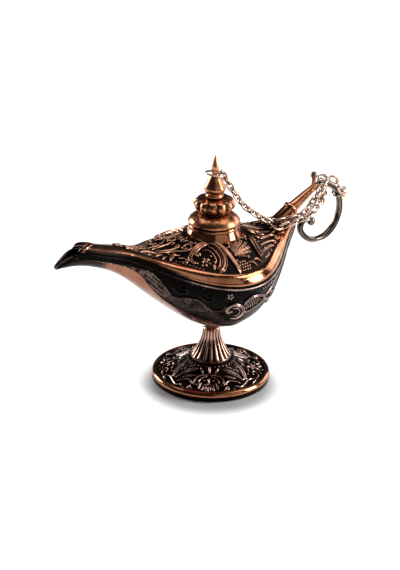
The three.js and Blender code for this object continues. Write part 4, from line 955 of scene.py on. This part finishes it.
footMiddles = [
    ("leaf", 0.62, 0.7, [(7.4, 0), (8.6, 0), (9.9, 0)], 0),
    ("leaf", 0.55, 0.7, [(11, 0), (12.3, 0), (13.6, 0)], 0),
    ("leaf", 0.45, 0.6, [(14.3, 0), (15.5, 0), (16.8, 0)], 0),
    ("leaf", 0.5, 0.6, [(13.2, 90), (14.6, 90), (16, 90)], 0),
]
footBeads = [
    (16.9, -30, 0.4), (12.2, -7, 0.35), (9, -33, 0.3), (9.6, -55, 0.35), (16.6, -67.5, 0.35),
    (13.4, -68, 0.35), (17, -89.9, 0.4), (12.3, -90, 0.4), (14.4, -81.5, 0.4), (10.3, -76, 0.3)]
seatBeads = {"radius": 7.75, "count": 36, "bead": 0.3, "tone": 0.8}


def makeFootCarving():
    skin = newSkin()
    for half in (0, 180):
        for side in (1, -1):
            spin = lambda points: [(radius, foot["facing"] + half + side * turn) for radius, turn in points]
            addStrokes(skin, "foot", footCarving, spin)
            for radius, turn, bead in footBeads:
                addBead(skin, "foot", spin([(radius, turn)])[0], bead)
            if side == 1:
                addStrokes(skin, "foot", footMiddles, spin)
    for turn in np.linspace(0, 360, seatBeads["count"], endpoint=False):
        addBead(skin, "foot", (seatBeads["radius"], turn), seatBeads["bead"], seatBeads["tone"])
    return makePiece("footCarving", skin, finish["rose"], "base", outward=False, sharp=70)


makeFoot()
makeFootCarving()
print("foot made")

# fluted stem
stem = {
    "height": 12.9, "root": 6.7, "bore": 1.5,
    "reeds": 18, "reedSides": 12, "reedDepth": 0.55, "grooveShade": 0.95,
    "reedFoot": 6.4, "reedTop": 2.9, "reedCurve": 1.9, "reedFrom": 1.12, "reedTo": -2.4,
    # radius, height and rise: the land out from the root, and the neck up from the stem's height
    "land": [(-0.2, 0, 0.2), (0, 0.2, 0.4), (0, 0.85, 0.4), (-0.15, 1, 0.4)],
    "neck": [(2.75, -2.3, 0.8), (2.4, -2.05, 0.4), (2.3, -1.8, 0.3), (2.3, -1.25, 0.4), (2.6, -0.9, 0.6),
             (3.2, -0.55, 0.9), (3.6, -0.2, 1), (3.6, 0.4, 0.6)],
}


def makeStem():
    skin = newSkin()
    low, high = stem["reedFrom"], stem["height"] + stem["reedTo"]
    levels = [(stem["bore"], 0, 0, 0)] + [(stem["root"] + out, z, tone, 0) for out, z, tone in stem["land"]]
    for t in np.concatenate([[0, 0.02, 0.05], np.linspace(0.1, 1, 16)]):  # closer where the reeds begin
        radius = stem["reedTop"] + (stem["reedFoot"] - stem["reedTop"]) * (1 - t) ** stem["reedCurve"]
        depth = stem["reedDepth"] * (1 - 0.5 * t) * min(1, t / 0.05 + 0.3)  # shallow at first, half at the top
        levels.append((radius, low + (high - low) * t, 1, depth))
    levels += [(radius, stem["height"] + up, tone, 0) for radius, up, tone in stem["neck"]]
    levels.append((stem["bore"], stem["height"] + stem["neck"][-1][1], 0, 0))
    sides = stem["reeds"] * stem["reedSides"]
    addLathe(skin, levels, foot["seatHeight"], sides, stem["reeds"], stem["grooveShade"])
    return makePiece("flutedStem", skin, finish["reeded"], "base", ["fluted_stem"], sharp=60)


# lid: cap, gadrooned knop and spire
lid = {
    "base": 55.5, "sides": 144, "radius": 8.5, "waist": 4.4, "bore": 1.3, "top": 3.9,
    "flange": [(1.3, 1.2, 0), (5, 1.2, 0), (5, -3, 0), (6.2, -3, 0.3), (6.6, -2.6, 0.3), (6.6, -0.05, 0.05),
               (7.9, 0, 0.2), (8.25, 0.07, 0.8), (8.44, 0.27, 1), (8.5, 0.55, 1), (8.46, 0.9, 1),
               (8.3, 1.2, 0.9), (8.1, 1.36, 0.75)],
    "domeFoot": 1.2, "domeRise": 2.4, "domeCurve": 1.7, "domeStart": 0.14, "domeSteps": 14,
    "dull": 0.5, "knopShadowStart": 0.7,  # painted shadow of the knop: darker beside it
}
knop = {
    "base": 59.7, "radius": 6.8, "waist": 4.2, "height": 4.3, "grooveShade": 0.6,
    "lobes": 12, "lobeSides": 16, "lobeDepth": 0.8, "tilts": (-90, 78), "steps": 22,
    "top": [(3.9, 4.26), (3.2, 4.3), (1.3, 4.3), (1.3, 0)],
}
finial = {
    "base": 64.3, "sides": 72, "step": 0.22, "studTone": 0.3, "spireTone": 0.8,
    "bulb": 2.6, "bulbSoft": 1 / 3,  # brighter where it is wider than this
    "stud": [(0.01, -8.2), (0.95, -8.2), (1.0, -8), (1.0, 0)],
    "spire": [(2.5, 0), (2.86, 0.2), (2.9, 0.45), (2.75, 0.85), (2.55, 1.05), (2.75, 1.35), (3.3, 2.1),
              (3.58, 2.8), (3.58, 3.2), (3.3, 4), (2.65, 5.05), (2.0, 6.1), (1.5, 7), (1.14, 7.9),
              (1.08, 8.3), (1.2, 9), (1.25, 9.5), (1.12, 10.4), (0.86, 11.5), (0.58, 12.6), (0.3, 13.6),
              (0.1, 14.25), (0.01, 14.4)],
}


def makeLidCap():
    skin = newSkin()
    levels = list(lid["flange"])
    for t in np.linspace(lid["domeStart"], 1, lid["domeSteps"]):
        rise = lid["domeRise"] * (1 - (1 - t) ** lid["domeCurve"])
        # painted shadow of the knop: the dome's tone falls towards the knop
        tone = 1 - lid["dull"] * max(0, t - lid["knopShadowStart"]) / (1 - lid["knopShadowStart"])
        levels.append((lid["radius"] - (lid["radius"] - lid["waist"]) * t, lid["domeFoot"] + rise, tone))
    levels += [(lid["waist"], lid["top"], 0.2), (lid["bore"], lid["top"], 0), lid["flange"][0]]
    addLathe(skin, levels, lid["base"], lid["sides"])
    makePiece("lidCap", skin, finish["satin"], "lid", ["lid_cap"])


def makeLidKnop():
    skin = newSkin()
    levels = [(lid["bore"], 0, 1, 0)]
    for tilt in np.radians(np.linspace(*knop["tilts"], knop["steps"])):
        bulge, z = math.cos(tilt), knop["height"] / 2 * (1 + math.sin(tilt))
        radius = knop["waist"] + (knop["radius"] - knop["waist"]) * bulge
        levels.append((radius, z, 1, knop["lobeDepth"] * bulge))
    levels += [(radius, z, 1, 0) for radius, z in knop["top"]]
    sides = knop["lobes"] * knop["lobeSides"]
    addLathe(skin, levels, knop["base"], sides, knop["lobes"], knop["grooveShade"])
    makePiece("lidKnop", skin, finish["satin"], "lid", ["lid_knop"], sharp=60)


def makeFinial():
    skin = newSkin()
    levels = [(radius, z, finial["studTone"]) for radius, z in finial["stud"]]
    for radius, z in roundedPath(finial["spire"], finial["step"]):
        tone = max(0.35 + 0.65 * ease((radius - finial["bulb"]) / finial["bulbSoft"]), finial["spireTone"])
        levels.append((max(radius, 0.001), z, tone))
    addLathe(skin, levels, finial["base"], finial["sides"])
    makePiece("finialSpire", skin, finish["satin"], "lid", ["finial"], sharp=50)


makeStem()
makeLidCap()
makeLidKnop()
makeFinial()
print("stem and lid made")

# scroll handle: grooved C with a curl, shank and post with a ball, spur
handle = {
    "reach": 18.8, "width": 18.6, "height": 19.8, "start": 105, "end": -150, "steps": 86,
    "curl": 3.0, "curlEnd": 2.2, "curlTurn": 186, "curlSteps": 40, "curlBall": 1.5,
    "wire": 1.0, "breadth": 1.25, "sides": 28,
    "groove": 0.28, "grooveWidth": 0.3, "grooveTone": 0.15, "endTone": 0.5,
    "ball": 1.2, "ballRings": 15, "ballTone": 0.9, "turnedSides": 24, "shankSides": 40,
    "postSet": 0.6, "postHeight": 4.4, "spurTurn": 12, "spurLean": 68,
    # radius, distance along and rise
    "shank": [(1.2, 3.7, 0), (1.2, 7.7, 0), (1.7, 7.7, 0.3), (1.88, 7.8, 0.9), (1.92, 8.1, 1), (1.85, 9, 1),
              (1.72, 11, 1), (1.5, 14, 1), (1.28, 16.6, 1), (1.15, 17.8, 1), (1.0, 18.6, 1),
              (0.85, 19.3, 0.8), (0.01, 19.4, 0.8)],
    "post": [(1.0, -0.9, 0.9), (0.95, 0.2, 0.9), (0.8, 0.9, 0.9), (0.7, 1.8, 0.9), (0.7, 2.8, 0.9),
             (0.8, 3.3, 0.9), (0.9, 3.5, 0.9), (0.8, 3.7, 0.9), (0.6, 4.4, 0.9)],
    "spur": [(0.9, 0, 1), (0.88, 0.6, 1), (0.86, 1.1, 1), (0.7, 1.5, 1), (0.52, 2.1, 1), (0.3, 2.7, 1),
             (0.12, 2.97, 1), (0.01, 3, 1)],
}


# a place on the scroll's oval, from its middle
def ovalSpot(degrees):
    turn = math.radians(degrees)
    return np.array([handle["width"] / 2 * math.cos(turn), handle["height"] / 2 * math.sin(turn)])


scrollTip = np.array(neck["root"]) + neckWay * handle["reach"] + (0, bowl["lift"])
scrollMiddle = scrollTip - ovalSpot(handle["start"])
postFoot = scrollTip - (handle["postSet"], 0)


def scrollPath():
    turns = np.linspace(handle["start"], handle["end"], handle["steps"])
    path = [scrollMiddle + ovalSpot(turn) for turn in turns]
    heading = unit(path[-1] - path[-2])
    inward = np.array([heading[1], -heading[0]])
    hub, first = path[-1] + inward * handle["curl"], math.atan2(-inward[1], -inward[0])
    for t in np.linspace(0.025, 1, handle["curlSteps"]):
        radius = handle["curl"] + (handle["curlEnd"] - handle["curl"]) * t
        turn = first - math.radians(handle["curlTurn"]) * t
        path.append(hub + radius * np.array([math.cos(turn), math.sin(turn)]))
    return np.array(path)


def makeScroll():
    skin = newSkin()
    path = scrollPath()
    ahead = unit(np.gradient(path, axis=0))
    turn = np.linspace(0, 2 * math.pi, handle["sides"], endpoint=False)
    dent = np.exp(-(np.cos(turn) / handle["grooveWidth"]) ** 2)
    inPlane = handle["wire"] * np.cos(turn)
    side = handle["breadth"] * np.sin(turn) * (1 - handle["groove"] * dent)
    x, z = path[:, :1] - ahead[:, 1:] * inPlane, path[:, 1:] + ahead[:, :1] * inPlane
    grid = np.stack([x, np.broadcast_to(side, x.shape), z], -1)
    addGrid(skin, grid, (1 - (1 - handle["grooveTone"]) * dent)[None, :], across=True)
    addCap(skin, grid[0], handle["endTone"])
    addCap(skin, grid[-1], handle["endTone"])
    tilts = np.radians(np.linspace(-89.5, 89.5, handle["ballRings"]))
    postTop = postFoot + (0, handle["postHeight"])
    for spot, radius in ((path[-1], handle["curlBall"]), (postTop, handle["ball"])):
        ball = [(radius * math.cos(tilt), radius * math.sin(tilt), handle["ballTone"]) for tilt in tilts]
        addTurned(skin, ball, spot, (0, 1), handle["turnedSides"])
    makePiece("scrollBar", skin, finish["scroll"], "base", ["scroll_handle"])


def makeShankAndSpur():
    skin = newSkin()
    addTurned(skin, handle["shank"], neckRoot, neckWay, handle["shankSides"])
    addTurned(skin, handle["post"], postFoot, (0, 1), handle["turnedSides"])
    makePiece("handleShank", skin, finish["satin"], "base")
    skin = newSkin()
    lean = math.radians(handle["spurLean"])
    root = scrollMiddle + ovalSpot(handle["spurTurn"])
    addTurned(skin, handle["spur"], root, (math.sin(lean), math.cos(lean)), handle["turnedSides"])
    makePiece("handleSpur", skin, finish["brass"], "base")


makeScroll()
makeShankAndSpur()
print("handle made")

# chain: each link and ring is drawn again on its solid's own axes
chain = {
    "wire": 0.7, "sides": 10, "bend": 9, "ringBend": 18, "ringSlack": 0.25, "tones": (0.55, 0.45),
    "fine": {"keeper_ring": 0.54, "end_link_02": 0.54},  # thinner, for room where the sling swings past
}


def makeLink(name, bodyName):
    solid = frame["nodes"][name]
    points = np.array([v.co for v in solid.data.vertices]) / mm - np.array([stemX / mm, 0, 0])
    middle = points.mean(0)
    axes = np.linalg.svd(points - middle, full_matrices=False)[2]
    length, breadth, _ = np.ptp((points - middle) @ axes.T, axis=0)
    straight, bow = (length - breadth) / 2, (breadth - chain["wire"]) / 2
    turns = np.linspace(-math.pi / 2, math.pi / 2, chain["bend"])
    if straight < chain["ringSlack"]:  # a ring
        straight, bow = 0, (length - chain["wire"]) / 2
        turns = np.linspace(-math.pi / 2, math.pi / 2, chain["ringBend"])[:-1]
    wire = chain["fine"].get(name, chain["wire"])
    ring = np.linspace(0, 2 * math.pi, chain["sides"], endpoint=False)
    rows = []
    for side in (1, -1):
        for turn in turns:
            out = side * (axes[0] * math.cos(turn) + axes[1] * math.sin(turn))
            spot = middle + side * axes[0] * straight + out * bow
            rows.append(spot + wire / 2 * (np.cos(ring)[:, None] * out + np.sin(ring)[:, None] * axes[2]))
    skin = newSkin()
    tone = chain["tones"][0] + chain["tones"][1] * np.cos(ring)
    addGrid(skin, rows, tone[None, :], along=True, across=True)
    makePiece(name + "_wire", skin, finish["chain"], bodyName, [name], sharp=80)


for bodyName, members in frame["record"]["behaviour"]["bodies"].items():
    for name in members:
        if "_link_" in name or name.endswith("_ring"):
            makeLink(name, bodyName)
print("chain made")

# solids that are shown as they are
for name, look in (("incense_cup", "brass"), ("stem_screw", "steel"), ("finial_nut", "steel")):
    solid = frame["nodes"][name]
    solid.data.materials.clear()
    solid.data.materials.append(finish[look])
print("cup, screw and nut finished")

# studio
studio = {
    "floor": (0.5, 0.5, 0.5), "rough": 0.9, "reach": 12, "ambient": 0.05,
    # the floor's own glow, kept low round the foot as a painted shadow: radius (m) where a rise starts, where
    # it ends, and how much it adds
    "paintedShadowGlow": [(0.017, 0.0255, 0.8), (0.15, 0.7, 0.3)], "forward": 0.006,  # the painted shadow lies a little forward
    # turn from the camera's side, height angle, distance, width, height, watts
    "lamps": {"rightBox": (86, 15, 0.62, 0.22, 0.3, 3.1), "glowBox": (130, 16, 0.62, 0.36, 0.28, 1.0),
              "leftBox": (-122, 14, 0.62, 0.24, 0.28, 2.7), "topBox": (175, 79, 0.62, 0.8, 0.3, 1.7),
              "frontBox": (38, 28, 0.8, 0.75, 0.5, 0.7), "rimBox": (96, 38, 0.62, 0.26, 0.2, 1.3)},
}


def makeFloor():
    mesh = bpy.data.meshes.new("studioFloor")
    reach = studio["reach"]
    corners = [(-reach, -reach, 0), (reach, -reach, 0), (reach, reach, 0), (-reach, reach, 0)]
    mesh.from_pydata(corners, [], [(0, 1, 2, 3)])
    floor = bpy.data.objects.new("studioFloor", mesh)
    scene.collection.objects.link(floor)
    material = bpy.data.materials.new("paleFloor")
    material.use_nodes = True
    tree = material.node_tree
    light = addNode(tree, "ShaderNodeLightPath").outputs
    seen = mathNode(tree, "MAXIMUM", light["Is Camera Ray"], light["Is Glossy Ray"])
    seen = mathNode(tree, "MAXIMUM", seen, light["Is Transmission Ray"])
    place = addNode(tree, "ShaderNodeTexCoord").outputs["Object"]
    turn = math.radians(shot["azimuth"] - 90)
    centre = (stemX + studio["forward"] * math.cos(turn), studio["forward"] * math.sin(turn), 0)
    away = addNode(tree, "ShaderNodeVectorMath", {0: place, 1: centre}, operation="DISTANCE").outputs["Value"]
    # the glow is low close to the foot, a painted shadow, and full further out
    paintedShadowGlow = 0.0
    for start, end, gain in studio["paintedShadowGlow"]:
        paintedShadowGlow = mathNode(tree, "ADD", rangeNode(tree, away, start, end, gain, smooth=True), paintedShadowGlow)
    setInputs(tree, tree.nodes["Principled BSDF"], {
        "Base Color": (*studio["floor"], 1), "Roughness": studio["rough"], "Specular IOR Level": 0,
        "Emission Color": mathNode(tree, "MULTIPLY", seen, paintedShadowGlow), "Emission Strength": 1})
    mesh.materials.append(material)


def makeLamps():
    aim = Vector((stemX, 0, shot["aimHeight"]))
    for name, (turn, tilt, distance, width, height, watts) in studio["lamps"].items():
        azimuth, rise = math.radians(shot["azimuth"] - 90 + turn), math.radians(tilt)
        way = Vector((math.cos(azimuth) * math.cos(rise), math.sin(azimuth) * math.cos(rise), math.sin(rise)))
        light = bpy.data.lights.new(name, "AREA")
        light.shape, light.size, light.size_y, light.energy = "RECTANGLE", width, height, watts
        lamp = bpy.data.objects.new(name, light)
        scene.collection.objects.link(lamp)
        lamp.location = aim + way * distance
        lamp.rotation_euler = way.to_track_quat("Z", "Y").to_euler()


def makeWorld():
    world = bpy.data.worlds.new("studio")
    scene.world = world
    world.use_nodes = True
    ground = world.node_tree.nodes["Background"]
    setInputs(world.node_tree, ground, {"Color": (1, 1, 1, 1), "Strength": studio["ambient"]})


makeFloor()
makeLamps()
makeWorld()
print("studio made")
